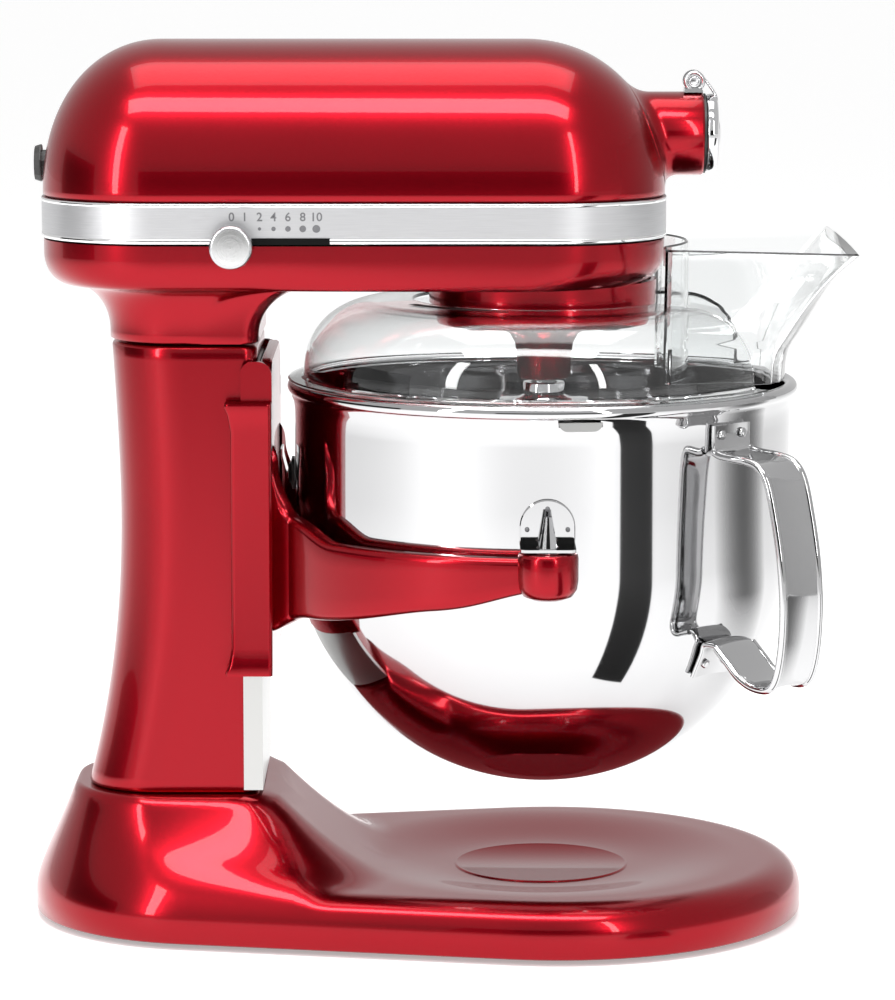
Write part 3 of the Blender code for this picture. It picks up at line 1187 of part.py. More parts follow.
def make_bowl(looks, bowl_body):
    """The bowl, turned in one piece with its rolled rim."""
    outside = bowl_profile(BOWL_RADIUS, BOWL_BOTTOM)
    inner = BOWL_RADIUS - BOWL_WALL
    inside = [(r * inner / BOWL_RADIUS, z + BOWL_WALL) for r, z in reversed(outside)]
    bead = []
    middle = RIM_RADIUS - RIM_BEAD
    for degrees in (-60, -5, 45, 88):
        a = math.radians(degrees)
        bead.append((middle + RIM_BEAD * math.cos(a), RIM_HEIGHT + RIM_BEAD * math.sin(a)))
    profile = outside + [(BOWL_RADIUS, RIM_HEIGHT - RIM_BEAD)] + bead
    profile += inside
    turned("bowl", profile, looks["bowl"], bowl_body, sides=32)


def strap(name, path, width, thickness, look, parent, turn):
    """A flat strap bent along a path of (radius, height) in the upright plane at an angle."""
    rings = []
    for i, (r, z) in enumerate(path):
        before = Vector(path[max(i - 1, 0)])
        after = Vector(path[min(i + 1, len(path) - 1)])
        here = Vector((r, z))
        inward = (here - before).normalized() if i else (after - here).normalized()
        onward = (after - here).normalized() if i < len(path) - 1 else inward
        along = (inward + onward).normalized()
        stretch = 1 / max(0.5, along.dot(onward))
        normal = Vector((-along.y, along.x)) * thickness / 2 * stretch
        ring = []
        for side, face in ((-1, -1), (1, -1), (1, 1), (-1, 1)):
            ring.append((r + normal.x * face, side * width / 2, z + normal.y * face))
        rings.append(ring)
    made = skin(name, rings, look, parent)
    made.rotation_euler = (0, 0, turn)
    return made


def handle_path():
    """The handle's line, from its upper plate round the grip to its lower plate."""
    off = HANDLE_STRAP / 2 + GAP + 0.0006
    wall = BOWL_RADIUS + off
    points = [(wall, 0.2475), (wall, 0.2375), (wall + 0.003, 0.2335), (0.137, 0.2325), (0.1475, 0.2270),
              (0.1545, 0.2120), (0.1600, 0.1920), (0.1630, 0.1650), (0.1620, 0.1430), (0.1560, 0.1310),
              (0.1450, 0.1285), (0.1330, 0.1350), (wall_radius(0.1470) + off + 0.0035, 0.1450)]
    for height in (0.1420, 0.1360, 0.1290):
        slope = 0.0007 * (0.1470 - height) / 0.01
        points.append((wall_radius(height) + off + slope, height))
    return points


def make_bowl_fittings(looks, bowl_body):
    """Handle, side brackets with their tabs, and the stud that the rear latch holds."""
    strap("bowl_handle", handle_path(), HANDLE_WIDTH, HANDLE_STRAP, looks["bowl"], bowl_body,
          HANDLE_ANGLE)
    for side, name in ((-1, "bowl_bracket_right"), (1, "bowl_bracket_left")):
        make_bracket(name, side, looks, bowl_body)
    reach = -BOWL_RADIUS - GAP - (LATCH_FACE + RUN)
    stud = turned("rear_stud", [(0, 0.0), (0.0080, 0.0), (0.0080, 0.0012), (0.0052, 0.0018),
                                (0.0048, reach - 0.0004), (0, reach)], looks["black"], bowl_body, sides=14)
    stud.rotation_euler = (0, -math.pi / 2, 0)
    stud.location = (-BOWL_RADIUS - GAP, 0, 0.2130)


def make_bracket(name, side, looks, bowl_body):
    """An arched plate on the bowl's side, with a tab that drops over the locating pin."""
    half, rise, thick = 0.0125, 0.0215, 0.0014
    tab_low = BOSS_TOP + 0.0008
    wall = BOWL_RADIUS + GAP + 0.0008
    outline = [(-half, tab_low), (half, tab_low), (half, tab_low + rise - half)]
    for degrees in (30, 60, 90, 120, 150):
        a = math.radians(degrees)
        outline.append((half * math.cos(a), tab_low + rise - half + half * math.sin(a)))
    outline.append((-half, tab_low + rise - half))
    rings = []
    for depth in (0.0, thick):
        ring = []
        for x, z in outline:
            y = math.sqrt((wall + depth) ** 2 - x * x)
            ring.append((x, side * y, z))
        rings.append(ring)
    plate = skin(name, rings, looks["bowl"], bowl_body)
    tab_half = half - 0.0003
    tab_end = side * (BOWL_RADIUS + PIN_STANDOFF + 0.0095)
    inner = wall + thick / 2
    tab_outline = [(tab_half * i / 3,
                    side * math.sqrt(inner ** 2 - (tab_half * i / 3) ** 2)) for i in range(-3, 4)]
    tab_outline += [(tab_half, tab_end), (-tab_half, tab_end)]
    add(plate, prism(f"{name}_tab", tab_outline, tab_low + 0.0002, tab_low + thick, None, bowl_body))
    hole = turned(f"{name}_hole", [(0, 0.19), (0.0054, 0.19), (0.0054, 0.21), (0, 0.21)], None,
                  bowl_body, sides=14)
    hole.location = (0, side * PIN_Y, 0)
    cut(plate, hole)
    return plate


# ---------------------------------------------------------------- pouring shield
def dome_profile(inset):
    """Outside of the shield's dome from its opening to its flange; inset gives the inside."""
    foot_radius, foot_height = BOWL_RADIUS - 0.0040 - inset, RIM_HEIGHT + RIM_BEAD + 0.003
    top_radius = SHIELD_OPENING + 0.006
    points = [(SHIELD_OPENING, SHIELD_TOP - inset)]
    for degrees in (90, 65, 42, 20, 0):
        a = math.radians(degrees)
        r = top_radius + (foot_radius - top_radius) * math.cos(a)
        z = foot_height + (SHIELD_TOP - inset - foot_height) * math.sin(a)
        points.append((r, z))
    return points


def chute_ring(height, spread, wall):
    """Plan section of the chute, from its throat (spread 0) to its mouth (spread 1)."""
    back = CHUTE_BACK_RADIUS + wall
    half_back = THROAT_HALF_WIDTH + (MOUTH_BACK_HALF - THROAT_HALF_WIDTH) * spread - wall
    half_front = THROAT_HALF_WIDTH + (MOUTH_FRONT_HALF - THROAT_HALF_WIDTH) * spread - wall
    front = THROAT_FRONT + (CHUTE_REACH - THROAT_FRONT) * spread - wall
    end = math.asin((THROAT_HALF_WIDTH - 0.004) / back)
    wing_x = back * math.cos(end)
    ring = [(wing_x, half_back, height)]
    ring += [(back * math.cos(end - end * i / 3), back * math.sin(end - end * i / 3),
              height) for i in range(7)]
    ring.append((wing_x, -half_back, height))
    for share in (-1.0, -0.5, 0.0, 0.5, 1.0):
        y = half_front * share
        round_bow = THROAT_FRONT - math.sqrt(THROAT_FRONT ** 2 - y * y)
        bow = round_bow * (1 - spread) + LIP_BOW * share * share * spread
        ring.append((front - bow, y, height))
    return ring


def make_shield(looks, bowl_body):
    """Clear pouring shield: flange on the rim, dome, and a chute in front."""
    flange_low = RIM_HEIGHT + RIM_BEAD + GAP
    outer = RIM_RADIUS + 0.0005
    foot = BOWL_RADIUS - 0.0040
    outside = dome_profile(0.0)
    inside = dome_profile(SHIELD_WALL)
    skirt = [(outer, flange_low + 0.0022), (outer, flange_low), (foot - SHIELD_WALL, flange_low)]
    profile = outside + skirt + list(reversed(inside))
    axis = empty("shield_axis", bowl_body)
    shield = turned("pouring_shield", profile, looks["clear"], axis, sides=32, closed=True)
    levels = ((CHUTE_TOP, 1.0), (THROAT_TOP, 0.06), (RIM_HEIGHT + 0.0005, 0.0))
    body = skin("chute_body", [chute_ring(z, spread, 0.0) for z, spread in levels], None, axis)
    room = [chute_ring(z, spread, SHIELD_WALL) for z, spread in levels]
    room[0] = [(x, y, CHUTE_TOP + 0.001) for x, y, _ in room[0]]
    hollow = skin("chute_room", room, None, axis)
    inner = dome_profile(SHIELD_WALL - GAP)
    under_foot = foot - SHIELD_WALL + GAP
    under = [(0, inner[0][1])] + inner[1:] + [(under_foot, RIM_HEIGHT - 0.015), (0, RIM_HEIGHT - 0.015)]
    below = turned("dome_room", under, None, axis, sides=32)
    add(shield, body)
    cut(shield, hollow)
    cut(shield, below)
    return shield


# ---------------------------------------------------------------- dough hook
def make_hook(looks, beater):
    """Spiral dough hook: slotted sleeve, disc and a tapering rod that winds downwards."""
    sleeve_top = 0.2610
    bore = 0.0062
    hook = turned("dough_hook", [(0, HOOK_DISC_HEIGHT - 0.012), (0.0080, HOOK_DISC_HEIGHT - 0.010),
                                 (0.0098, HOOK_DISC_HEIGHT - 0.002), (HOOK_DISC_RADIUS - 0.001,
                                                                      HOOK_DISC_HEIGHT - 0.002),
                                 (HOOK_DISC_RADIUS,
                                  HOOK_DISC_HEIGHT - 0.0010), (HOOK_DISC_RADIUS - 0.001,
                                                               HOOK_DISC_HEIGHT),
                                 (0.0105, HOOK_DISC_HEIGHT + 0.0015), (0.0098, HOOK_DISC_HEIGHT + 0.004),
                                 (0.0098, sleeve_top), (0,
                                                        sleeve_top)], looks["chrome"], beater, sides=20)
    rings = []
    stations, sides = 22, 8
    top = HOOK_DISC_HEIGHT - 0.009
    centres = []
    for s in range(stations + 1):
        share = s / stations
        a = math.radians(-200 + 430 * share)
        swell = math.sin(math.pi * min(1.0, share / 0.96)) ** 0.7 if share < 0.96 else 0.0
        reach = HOOK_SWEEP * swell
        centres.append(Vector((reach * math.cos(a), reach * math.sin(a),
                               top - (top - HOOK_BOTTOM) * share)))
    for s, centre in enumerate(centres):
        ahead = centres[min(s + 1, stations)] - centres[max(s - 1, 0)]
        frame = ahead.to_track_quat("Z", "Y").to_matrix()
        radius = HOOK_ROD * (1.0 - 0.35 * s / stations)
        ring = []
        for i in range(sides):
            a = 2 * math.pi * i / sides
            ring.append(centre + frame @ Vector((radius * math.cos(a), radius * math.sin(a), 0)))
        rings.append(ring)
    rod = skin("hook_rod", rings, None, beater)
    add(hook, rod)
    hole = turned("hook_bore", [(0, HOOK_DISC_HEIGHT - 0.0065), (bore, HOOK_DISC_HEIGHT - 0.0065),
                                (bore, 0.27), (0, 0.27)],
                  None, beater, sides=14)
    cut(hook, hole)
    slot = block("hook_slot", (-0.012, -0.0019, HOOK_DISC_HEIGHT + 0.0020), (0.012, 0.0019, 0.27), None,
                 beater)
    cut(hook, slot)
    return hook


# ---------------------------------------------------------------- the whole mixer
def make_mixer():
    """Clear the scene, then make every piece on its own parent."""
    for old in list(bpy.data.objects):
        bpy.data.objects.remove(old, do_unlink=True)
    looks = make_materials()
    root = empty("mixer", None, (BOWL_AXIS_X, 0, 0))
    make_base(looks, root)
    make_feet(looks, root)
    make_column(looks, root)
    make_head_lower(looks, root)
    make_head_upper(looks, root)
    make_band(looks, root)
    make_hub(looks, root)
    beater = make_planetary(looks, root)
    make_drive(looks, root)
    make_motor(looks, root)
    make_controls(looks, root)
    make_track(looks, root)
    make_lever(looks, root)
    carriage = empty("bowl_lift", root)
    make_support(looks, carriage)
    bowl_body = empty("bowl_axis", carriage)
    make_bowl(looks, bowl_body)
    make_bowl_fittings(looks, bowl_body)
    make_shield(looks, bowl_body)
    make_hook(looks, beater)


make_mixer()
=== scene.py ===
"""Stand mixer with a bowl that lifts: the finished pieces and their finishes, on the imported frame.

Metres.  Pieces are laid out from the bowl's axis, x forward to the hub, y to the lever's side,
z up from the worktop, and moved to the frame's own origin as their meshes are made.
"""
from math import asin, atan2, cos, degrees, hypot, pi, radians, sin, sqrt, tau

import bmesh
import bpy
from mathutils import Matrix, Vector


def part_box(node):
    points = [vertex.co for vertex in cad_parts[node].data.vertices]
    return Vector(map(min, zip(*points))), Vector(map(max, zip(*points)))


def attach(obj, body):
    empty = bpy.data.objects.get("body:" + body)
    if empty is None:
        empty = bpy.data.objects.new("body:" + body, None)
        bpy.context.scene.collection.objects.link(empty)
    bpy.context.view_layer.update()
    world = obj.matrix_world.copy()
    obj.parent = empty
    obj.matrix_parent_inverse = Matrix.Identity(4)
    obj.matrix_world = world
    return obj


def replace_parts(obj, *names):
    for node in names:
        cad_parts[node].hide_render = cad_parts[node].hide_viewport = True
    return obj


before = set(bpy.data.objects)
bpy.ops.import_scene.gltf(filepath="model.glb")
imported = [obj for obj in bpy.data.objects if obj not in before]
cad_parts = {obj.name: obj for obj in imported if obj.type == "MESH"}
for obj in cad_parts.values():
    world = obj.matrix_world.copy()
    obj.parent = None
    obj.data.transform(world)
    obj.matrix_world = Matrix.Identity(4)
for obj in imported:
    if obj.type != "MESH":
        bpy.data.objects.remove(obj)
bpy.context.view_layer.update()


def middle_of(node):
    """Middle of a frame node's box."""
    low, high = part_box(node)
    return (Vector(low) + Vector(high)) / 2


AXIS = Vector((middle_of("bowl").x, 0.0, 0.0))

# ------------------------ sizes
BASE_FRONT_X, BASE_FRONT_RADIUS = 0.006, 0.119
BASE_REAR_X, BASE_REAR_RADIUS = -0.155, 0.089
BASE_UNDER, BASE_EDGE, BASE_LIP = 0.003, 0.012, 0.016
PAD_HEIGHT, DISH_HEIGHT, DISH_RADIUS = 0.0275, 0.0222, 0.042
PEDESTAL_TOP, PEDESTAL_REAR, PEDESTAL_FRONT, PEDESTAL_HALF = 0.066, -0.222, -0.131, 0.052
COLUMN_FRONT, COLUMN_HALF, NECK_SEAM = -0.134, 0.047, 0.279
HEAD_REAR, HEAD_FRONT, HEAD_HALF, HEAD_CORNER = -0.2366, 0.058, 0.066, 0.056
HEAD_UNDER, HEAD_TOP, HEAD_POWER = 0.3055, 0.4195, 2.15
SPINE_REAR, SPINE_FRONT = -0.179, -0.010     # ends of the line that the upper head closes to
BAND_LOW, BAND_HIGH = 0.3273, 0.3467
HUB_HEIGHT, HUB_RADIUS, HUB_FACE = 0.375, 0.0197, 0.0758
HUB_PIN = Vector((0.0724, 0.0, 0.4003))
BOWL_RADIUS, BOWL_BOTTOM, BOWL_ROUND, BOWL_SHEET = 0.118, 0.0655, 0.113, 0.0012
RIM_HEIGHT, RIM_BEAD = 0.2555, 0.0034
BOSS_TOP, PIN_Y, ARM_RADIUS, SUPPORT_FACE = 0.1945, 0.1305, 0.1294, -0.1270
KNOB = Vector((-0.1445, -HEAD_HALF, 0.327))
SPEED_TRAVEL = 0.039
SHIELD_OPENING, SHIELD_TOP, SHIELD_FOOT, SHIELD_WALL = 0.062, 0.2965, 0.2602, 0.0016
THROAT_HALF, THROAT_TOP, CHUTE_TOP = 0.0425, 0.2770, 0.3240
HOOK_DISC, HOOK_BOTTOM, BEATER = 0.250, 0.098, Vector((0.0, -0.035, 0.0))
HANDLE_TURN = Matrix.Rotation(radians(-45), 4, "Z")
HANDLE_OFF = 0.0018          # the strap's middle, out from the bowl's wall
FINE = 128                   # sides of a large turned piece


# ------------------------ finishes
def arithmetic(operation, swapped=False):
    """A method of Wire that adds one Math node, its two values swapped for a reflected form."""
    def method(self, other):
        first, second = (other, self) if swapped else (self, other)
        return self.finish.node("ShaderNodeMath", {"operation": operation}, {0: first, 1: second})
    return method


class Wire:
    """A node's socket, with arithmetic that adds Math nodes."""

    def __init__(self, finish, socket):
        self.finish = finish
        self.socket = socket

    __add__, __radd__ = arithmetic("ADD"), arithmetic("ADD", True)
    __sub__, __rsub__ = arithmetic("SUBTRACT"), arithmetic("SUBTRACT", True)
    __mul__, __rmul__ = arithmetic("MULTIPLY"), arithmetic("MULTIPLY", True)
    __truediv__, __rtruediv__ = arithmetic("DIVIDE"), arithmetic("DIVIDE", True)
    __pow__, __rpow__ = arithmetic("POWER"), arithmetic("POWER", True)
    at_least, at_most = arithmetic("MAXIMUM"), arithmetic("MINIMUM")

    def held(self):
        """This, held between 0 and 1."""
        return self.at_most(1.0).at_least(0.0)


class Finish:
    """A Principled BSDF material; steady values are set on its own sockets."""

    def __init__(self, name, slot, **steady):
        self.material = bpy.data.materials.new(name)
        self.material.use_nodes = True
        self.slot = slot
        self.tree = self.material.node_tree
        self.shader = self.tree.nodes["Principled BSDF"]
        for key, value in steady.items():
            socket = self.shader.inputs[key.replace("_", " ").title().replace("Ior", "IOR")]
            socket.default_value = (*value, 1.0) if isinstance(value, tuple) else value

    def node(self, kind, settings=None, inputs=None, output=0):
        """Add a node, its settings first, then its values and links; returns one output."""
        made = self.tree.nodes.new(kind)
        for key, value in (settings or {}).items():
            setattr(made, key, value)
        for key, value in (inputs or {}).items():
            if isinstance(value, Wire):
                self.tree.links.new(value.socket, made.inputs[key])
            else:
                made.inputs[key].default_value = value
        return Wire(self, made.outputs[output])

    def feed(self, socket, wire):
        self.tree.links.new(wire.socket, self.shader.inputs[socket])

    def place(self, stretch=(1, 1, 1)):
        """Position on the piece, stretched along its axes."""
        spot = self.node("ShaderNodeTexCoord", output="Object")
        return self.node("ShaderNodeVectorMath", {"operation": "MULTIPLY"}, {0: spot, 1: stretch})

    def part(self, name):
        """One coordinate of the position on the piece."""
        return self.node("ShaderNodeSeparateXYZ", None, {0: self.place()}, name)

    def noise(self, scale, detail=2.0, stretch=(1, 1, 1)):
        values = {"Vector": self.place(stretch), "Scale": scale, "Detail": detail}
        return self.node("ShaderNodeTexNoise", None, values, "Fac")

    def colours(self, mask, first, second):
        """Base colour between two colours by a mask; 6 and 7 are the Mix node's colour sockets."""
        values = {0: mask, 6: (*first, 1.0), 7: (*second, 1.0)}
        self.feed("Base Color", self.node("ShaderNodeMix", {"data_type": "RGBA"}, values, 2))

    def bump(self, height, strength, distance):
        values = {"Height": height, "Strength": strength, "Distance": distance}
        self.feed("Normal", self.node("ShaderNodeBump", None, values, "Normal"))


def red_paint():
    """Candy paint: fine flake in the colour coat, a deep lacquer over it."""
    finish = Finish("red_paint", "paint", metallic=0.92, coat_weight=0.5, coat_roughness=0.03, coat_ior=1.35)
    flake = finish.noise(2600.0, 1.0)
    cloud = finish.noise(9.0, 2.0)
    finish.colours((flake * 0.7 + cloud * 0.3).held(), (0.235, 0.0003, 0.0050), (0.34, 0.0010, 0.0090))
    finish.feed("Roughness", 0.20 + cloud * 0.05 + flake * 0.05)
    finish.bump(flake, 0.04, 0.0002)
    return finish


def brushed_band():
    """Satin aluminium with fine level brushing."""
    finish = Finish("brushed_aluminium", "band", metallic=1.0)
    lines = finish.noise(60.0, 3.0, (1, 1, 60))
    grain = finish.noise(500.0, 2.0, (0.3, 0.3, 4))
    finish.colours(lines, (0.50, 0.50, 0.51), (0.66, 0.66, 0.67))
    finish.feed("Roughness", 0.34 + grain * 0.14)
    finish.bump(lines * 0.7 + grain * 0.3, 0.10, 0.0002)
    return finish


def bright_metal(name, slot, colour, rough, smear=0.04):
    """Polished or plated metal with faint smears in its gloss."""
    finish = Finish(name, slot, metallic=1.0)
    cloud = finish.noise(22.0, 4.0)
    darker = tuple(0.95 * channel for channel in colour)
    finish.colours(cloud, darker, colour)
    finish.feed("Roughness", rough + cloud * smear)
    return finish


def spun_metal(name, slot, centre, colour):
    """Faced on a lathe: fine rings about a level axis through centre."""
    finish = Finish(name, slot, metallic=1.0)
    x = finish.part("X") - centre.x
    z = finish.part("Z") - centre.z
    reach = (x * x + z * z) ** 0.5
    values = {"W": reach * 900.0, "Detail": 2.0}
    rings = finish.node("ShaderNodeTexNoise", {"noise_dimensions": "1D"}, values, "Fac")
    finish.colours(rings, tuple(0.88 * channel for channel in colour), colour)
    finish.feed("Roughness", 0.20 + rings * 0.15)
    finish.bump(rings, 0.15, 0.0002)
    return finish


def machined(name, slot, colour, rough):
    """Turned or milled metal inside the mixer."""
    finish = Finish(name, slot, metallic=1.0)
    grain = finish.noise(240.0, 4.0, (1, 1, 6))
    finish.colours(grain, tuple(0.75 * channel for channel in colour), colour)
    finish.feed("Roughness", rough + grain * 0.18)
    finish.bump(grain, 0.12, 0.0003)
    return finish


def moulded(name, slot, colour, rough, **steady):
    """Moulded plastic or rubber with a fine grain."""
    finish = Finish(name, slot, metallic=0.0, **steady)
    grain = finish.noise(900.0, 3.0)
    finish.colours(grain, colour, tuple(1.5 * channel for channel in colour))
    finish.feed("Roughness", rough + grain * 0.12)
    finish.bump(grain, 0.12, 0.0002)
    return finish


def clear_plastic():
    """Clear moulded shield, with faint handling marks in its gloss."""
    tint = (0.97, 0.98, 0.98)
    finish = Finish("clear_plastic", "clear", base_color=tint, ior=1.49, transmission_weight=1.0)
    marks = finish.noise(14.0, 3.0)
    finish.feed("Roughness", 0.004 + marks * 0.012)
    return finish


def plain(name, colour, rough, glow=0.0):
    """Floor or card of the studio."""
    return Finish(name, "", base_color=colour, roughness=rough, emission_color=(1, 1, 1),
                  emission_strength=glow)


def faded(name, colour, middle, spread):
    """Grey card that fades out to both sides of a bearing, given by its slope, and towards the bowl."""
    finish = plain(name, colour, 0.9)
    x = finish.part("X")
    away = (finish.part("Y") / x - middle) * (1 / spread)
    finish.feed("Alpha", (1 - away * away).held() * ((x - 0.20) * 2.2).held())
    return finish


PAINT = red_paint()
BAND = brushed_band()
EDGE = bright_metal("polished_edge", "band", (0.90, 0.90, 0.90), 0.10)
KNOB_SIDE = bright_metal("turned_side", "band", (0.50, 0.50, 0.51), 0.22)
KNOB_FACE = spun_metal("spun_aluminium", "band", AXIS + KNOB, (0.72, 0.72, 0.72))
CHROME = bright_metal("chrome", "chrome", (0.66, 0.66, 0.67), 0.03, 0.02)
MIRROR = bright_metal("polished_steel", "bowl", (0.54, 0.54, 0.545), 0.035, 0.03)
SATIN = bright_metal("satin_plate", "chrome", (0.66, 0.66, 0.67), 0.17, 0.05)
TRACK = bright_metal("satin_track", "chrome", (0.50, 0.50, 0.49), 0.26, 0.06)
STEEL = machined("machined_steel", "steel", (0.52, 0.52, 0.54), 0.28)
BRONZE = machined("bronze", "bronze", (0.62, 0.42, 0.18), 0.28)
COPPER = machined("copper_winding", "copper", (0.60, 0.25, 0.10), 0.34)
BLACK = moulded("black_plastic", "black", (0.012, 0.012, 0.012), 0.38)
# near-black with weak specular: painted shade standing in for the dark inside the speed slot
PAINTED_SLOT_SHADE = moulded("slot_painted_shade", "black", (0.004, 0.004, 0.004), 0.80, specular_ior_level=0.08)
BOARD = moulded("circuit_board", "board", (0.02, 0.16, 0.05), 0.45)
RUBBER = moulded("black_rubber", "rubber", (0.018, 0.018, 0.018), 0.70)
CLEAR = clear_plastic()
INK = moulded("grey_ink", "black", (0.09, 0.09, 0.095), 0.50)

NODE_FINISHES = {
    PAINT: ("base", "column", "head_lower", "head_upper", "gear_housing", "planet_carrier", "bowl_support"),
    BAND: ("trim_band", "speed_knob"),
    TRACK: ("slide_track",),
    CHROME: ("hinge_ear", "hub_cover", "locating_pin_left", "locating_pin_right", "rear_latch", "lift_lever",
             "dough_hook"),
    MIRROR: ("bowl", "bowl_handle", "bowl_bracket_left", "bowl_bracket_right"),
    BRONZE: ("worm_wheel", "brush_holder_left", "brush_holder_right", "lever_bush"),
    COPPER: ("armature", "commutator"),
    BLACK: ("cooling_fan", "cord_inlet", "hub_thumbscrew", "lever_grip", "rear_stud"),
    BOARD: ("speed_board",),
    RUBBER: tuple(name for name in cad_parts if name.startswith("foot_")),
    CLEAR: ("pouring_shield",),
}


def finish_nodes():
    """Give every node of the frame its finish; what isn't listed is machined steel."""
    chosen = {name: finish for finish, names in NODE_FINISHES.items() for name in names}
    for name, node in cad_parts.items():
        node.data.materials.clear()
        node.data.materials.append(chosen.get(name, STEEL).material)


# ------------------------ making meshes
def put(name, data):
    """A new object in the scene."""
    made = bpy.data.objects.new(name, data)
    bpy.context.scene.collection.objects.link(made)
    return made


def piece(name, points, faces, finish, body, sharp=40, turn=None):
    """A mesh laid out from the bowl's axis, with its finish, on a body of the frame."""
    mesh = bpy.data.meshes.new(name)
    if turn is not None:
        points = [turn @ Vector(p) for p in points]
    mesh.from_pydata([Vector(p) + AXIS for p in points], [], faces)
    mesh.validate()
    facing = bmesh.new()
    facing.from_mesh(mesh)
    bmesh.ops.remove_doubles(facing, verts=facing.verts, dist=1e-6)
    bmesh.ops.recalc_face_normals(facing, faces=facing.faces)
    facing.to_mesh(mesh)
    facing.free()
    mesh.shade_smooth()
    mesh.set_sharp_from_angle(angle=radians(sharp))
    made = put(name, mesh)
    mesh.materials.append(finish.material)
    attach(made, body)
    return made


def loft(name, rings, finish, body, caps=True, wrap=False, **more):
    """Bridge rings of equal length; cap the ends, or wrap the last ring to the first."""
    count = len(rings[0])
    points = [p for ring in rings for p in ring]
    faces = []
    last = len(rings) if wrap else len(rings) - 1
    for r in range(last):
        low, high = r * count, (r + 1) % len(rings) * count
        faces += [(low + i, low + (i + 1) % count, high + (i + 1) % count, high + i) for i in range(count)]
    if caps and not wrap:
        faces.append(tuple(reversed(range(count))))
        faces.append(tuple(range(len(points) - count, len(points))))
    return piece(name, points, faces, finish, body, **more)


def lathe(name, profile, finish, body, sides=FINE, caps=False, **more):
    """Turn a profile of (radius, height) about Z; ends on the axis all but close."""
    angles = [tau * i / sides for i in range(sides)]
    rings = []
    for radius, height in profile:
        reach = max(radius, 1e-5)
        rings.append([(reach * cos(a), reach * sin(a), height) for a in angles])
    return loft(name, rings, finish, body, caps=caps, **more)


def about_x(place=(0, 0, 0)):
    """Turns a lathed piece so that its height runs along +X from place."""
    return Matrix.Translation(place) @ Matrix.Rotation(pi / 2, 4, "Y")


def about_y(place=(0, 0, 0), side=1):
    """Turns a lathed piece so that its height runs along +Y or -Y from place."""
    return Matrix.Translation(place) @ Matrix.Rotation(-side * pi / 2, 4, "X")


def arc(centre, radius, start, end, steps):
    """Points of an arc in two dimensions, degrees."""
    angles = [radians(start + (end - start) * i / steps) for i in range(steps + 1)]
    return [(centre[0] + radius * cos(a), centre[1] + radius * sin(a)) for a in angles]


def rounded(rear, front, half, rear_radius, front_radius, corner=12, side=14):
    """Plan outline of a rounded rectangle, with points along its sides as well."""
    ahead, behind = (front - front_radius, front_radius), (rear + rear_radius, rear_radius)
    corners = []
    for quarter, ((x, radius), hand) in enumerate(((ahead, 1), (behind, 1), (behind, -1), (ahead, -1))):
        corners.append(arc((x, hand * (half - radius)), radius, 90 * quarter, 90 * quarter + 90, corner))
    made = []
    for here, after in zip(corners, corners[1:] + corners[:1]):
        made += here
        start, end = Vector(here[-1]), Vector(after[0])
        made += [tuple(start.lerp(end, i / side)) for i in range(1, side)]
    return made


def level(outline, height):
    return [(x, y, height) for x, y in outline]


def held(value):
    return min(1.0, max(0.0, value))


def smooth_step(value):
    value = held(value)
    return value * value * (3 - 2 * value)


def smooth_min(a, b, reach):
    share = held(0.5 + 0.5 * (b - a) / reach)
    return b + (a - b) * share - reach * share * (1 - share)


def curve_through(points, steps):
    """A smooth curve through points, as short straight runs."""
    ends = [points[0]] + list(points) + [points[-1]]
    made = []
    for i in range(1, len(ends) - 2):
        a, b, c, d = (Vector(p) for p in ends[i - 1:i + 3])
        for s in range(steps):
            t = s / steps
            made.append(0.5 * ((2 * b) + (c - a) * t + (2 * a - 5 * b + 4 * c - d) * t * t
                               + (3 * b - a - 3 * c + d) * t ** 3))
    made.append(Vector(points[-1]))
    return made


# ------------------------ base
def base_rays(steps=64, side=26):
    """Points of the base's outline, each with the place on the middle line it comes from."""
    slope = asin((BASE_FRONT_RADIUS - BASE_REAR_RADIUS) / (BASE_FRONT_X - BASE_REAR_X))
    split = pi / 2 + slope
    made = [(BASE_FRONT_X, BASE_FRONT_RADIUS, -split + 2 * split * i / steps) for i in range(steps + 1)]
    start, end = Vector((BASE_FRONT_X, BASE_FRONT_RADIUS)), Vector((BASE_REAR_X, BASE_REAR_RADIUS))
    straight = [tuple(start + (end - start) * i / side) for i in range(1, side)]
    made += [(x, r, split) for x, r in straight]
    sweep = 2 * (pi - split)
    made += [(BASE_REAR_X, BASE_REAR_RADIUS, split + sweep * i / 44) for i in range(45)]
    made += [(x, r, -split) for x, r in reversed(straight)]
    return [(x, r, cos(a), sin(a)) for x, r, a in made]


def pedestal_distance(x, y):
    """Distance outside the pedestal's top, negative on it."""
    radius = 0.016 + 0.024 * smooth_step((-x - 0.165) / 0.03)
    middle = (PEDESTAL_REAR + PEDESTAL_FRONT) / 2
    dx = abs(x - middle) - (PEDESTAL_FRONT - PEDESTAL_REAR) / 2 + radius
    dy = abs(y) - PEDESTAL_HALF + radius
    return hypot(max(dx, 0), max(dy, 0)) + min(max(dx, dy), 0) - radius


def base_height(x, y, from_edge):
    """Lip, dish, and the rise to the pedestal."""
    lip = min(1.0, from_edge / BASE_LIP)
    reach = hypot(x, y)
    dish = DISH_HEIGHT + (PAD_HEIGHT - DISH_HEIGHT) * smooth_step((reach - DISH_RADIUS) / 0.055)
    pad = BASE_EDGE + (dish - BASE_EDGE) * (1 - (1 - lip) ** 2.2) ** (1 / 2.2)
    away = pedestal_distance(x, y)
    room = min(max(away, 0.0) + from_edge, 0.056)
    share = min(1.0, away / room) if room > 1e-6 else 1.0
    rise = pad + (PEDESTAL_TOP + 0.004 - pad) * max(0.0, 1 - share) ** 1.4
    return smooth_min(rise, PEDESTAL_TOP, 0.004)


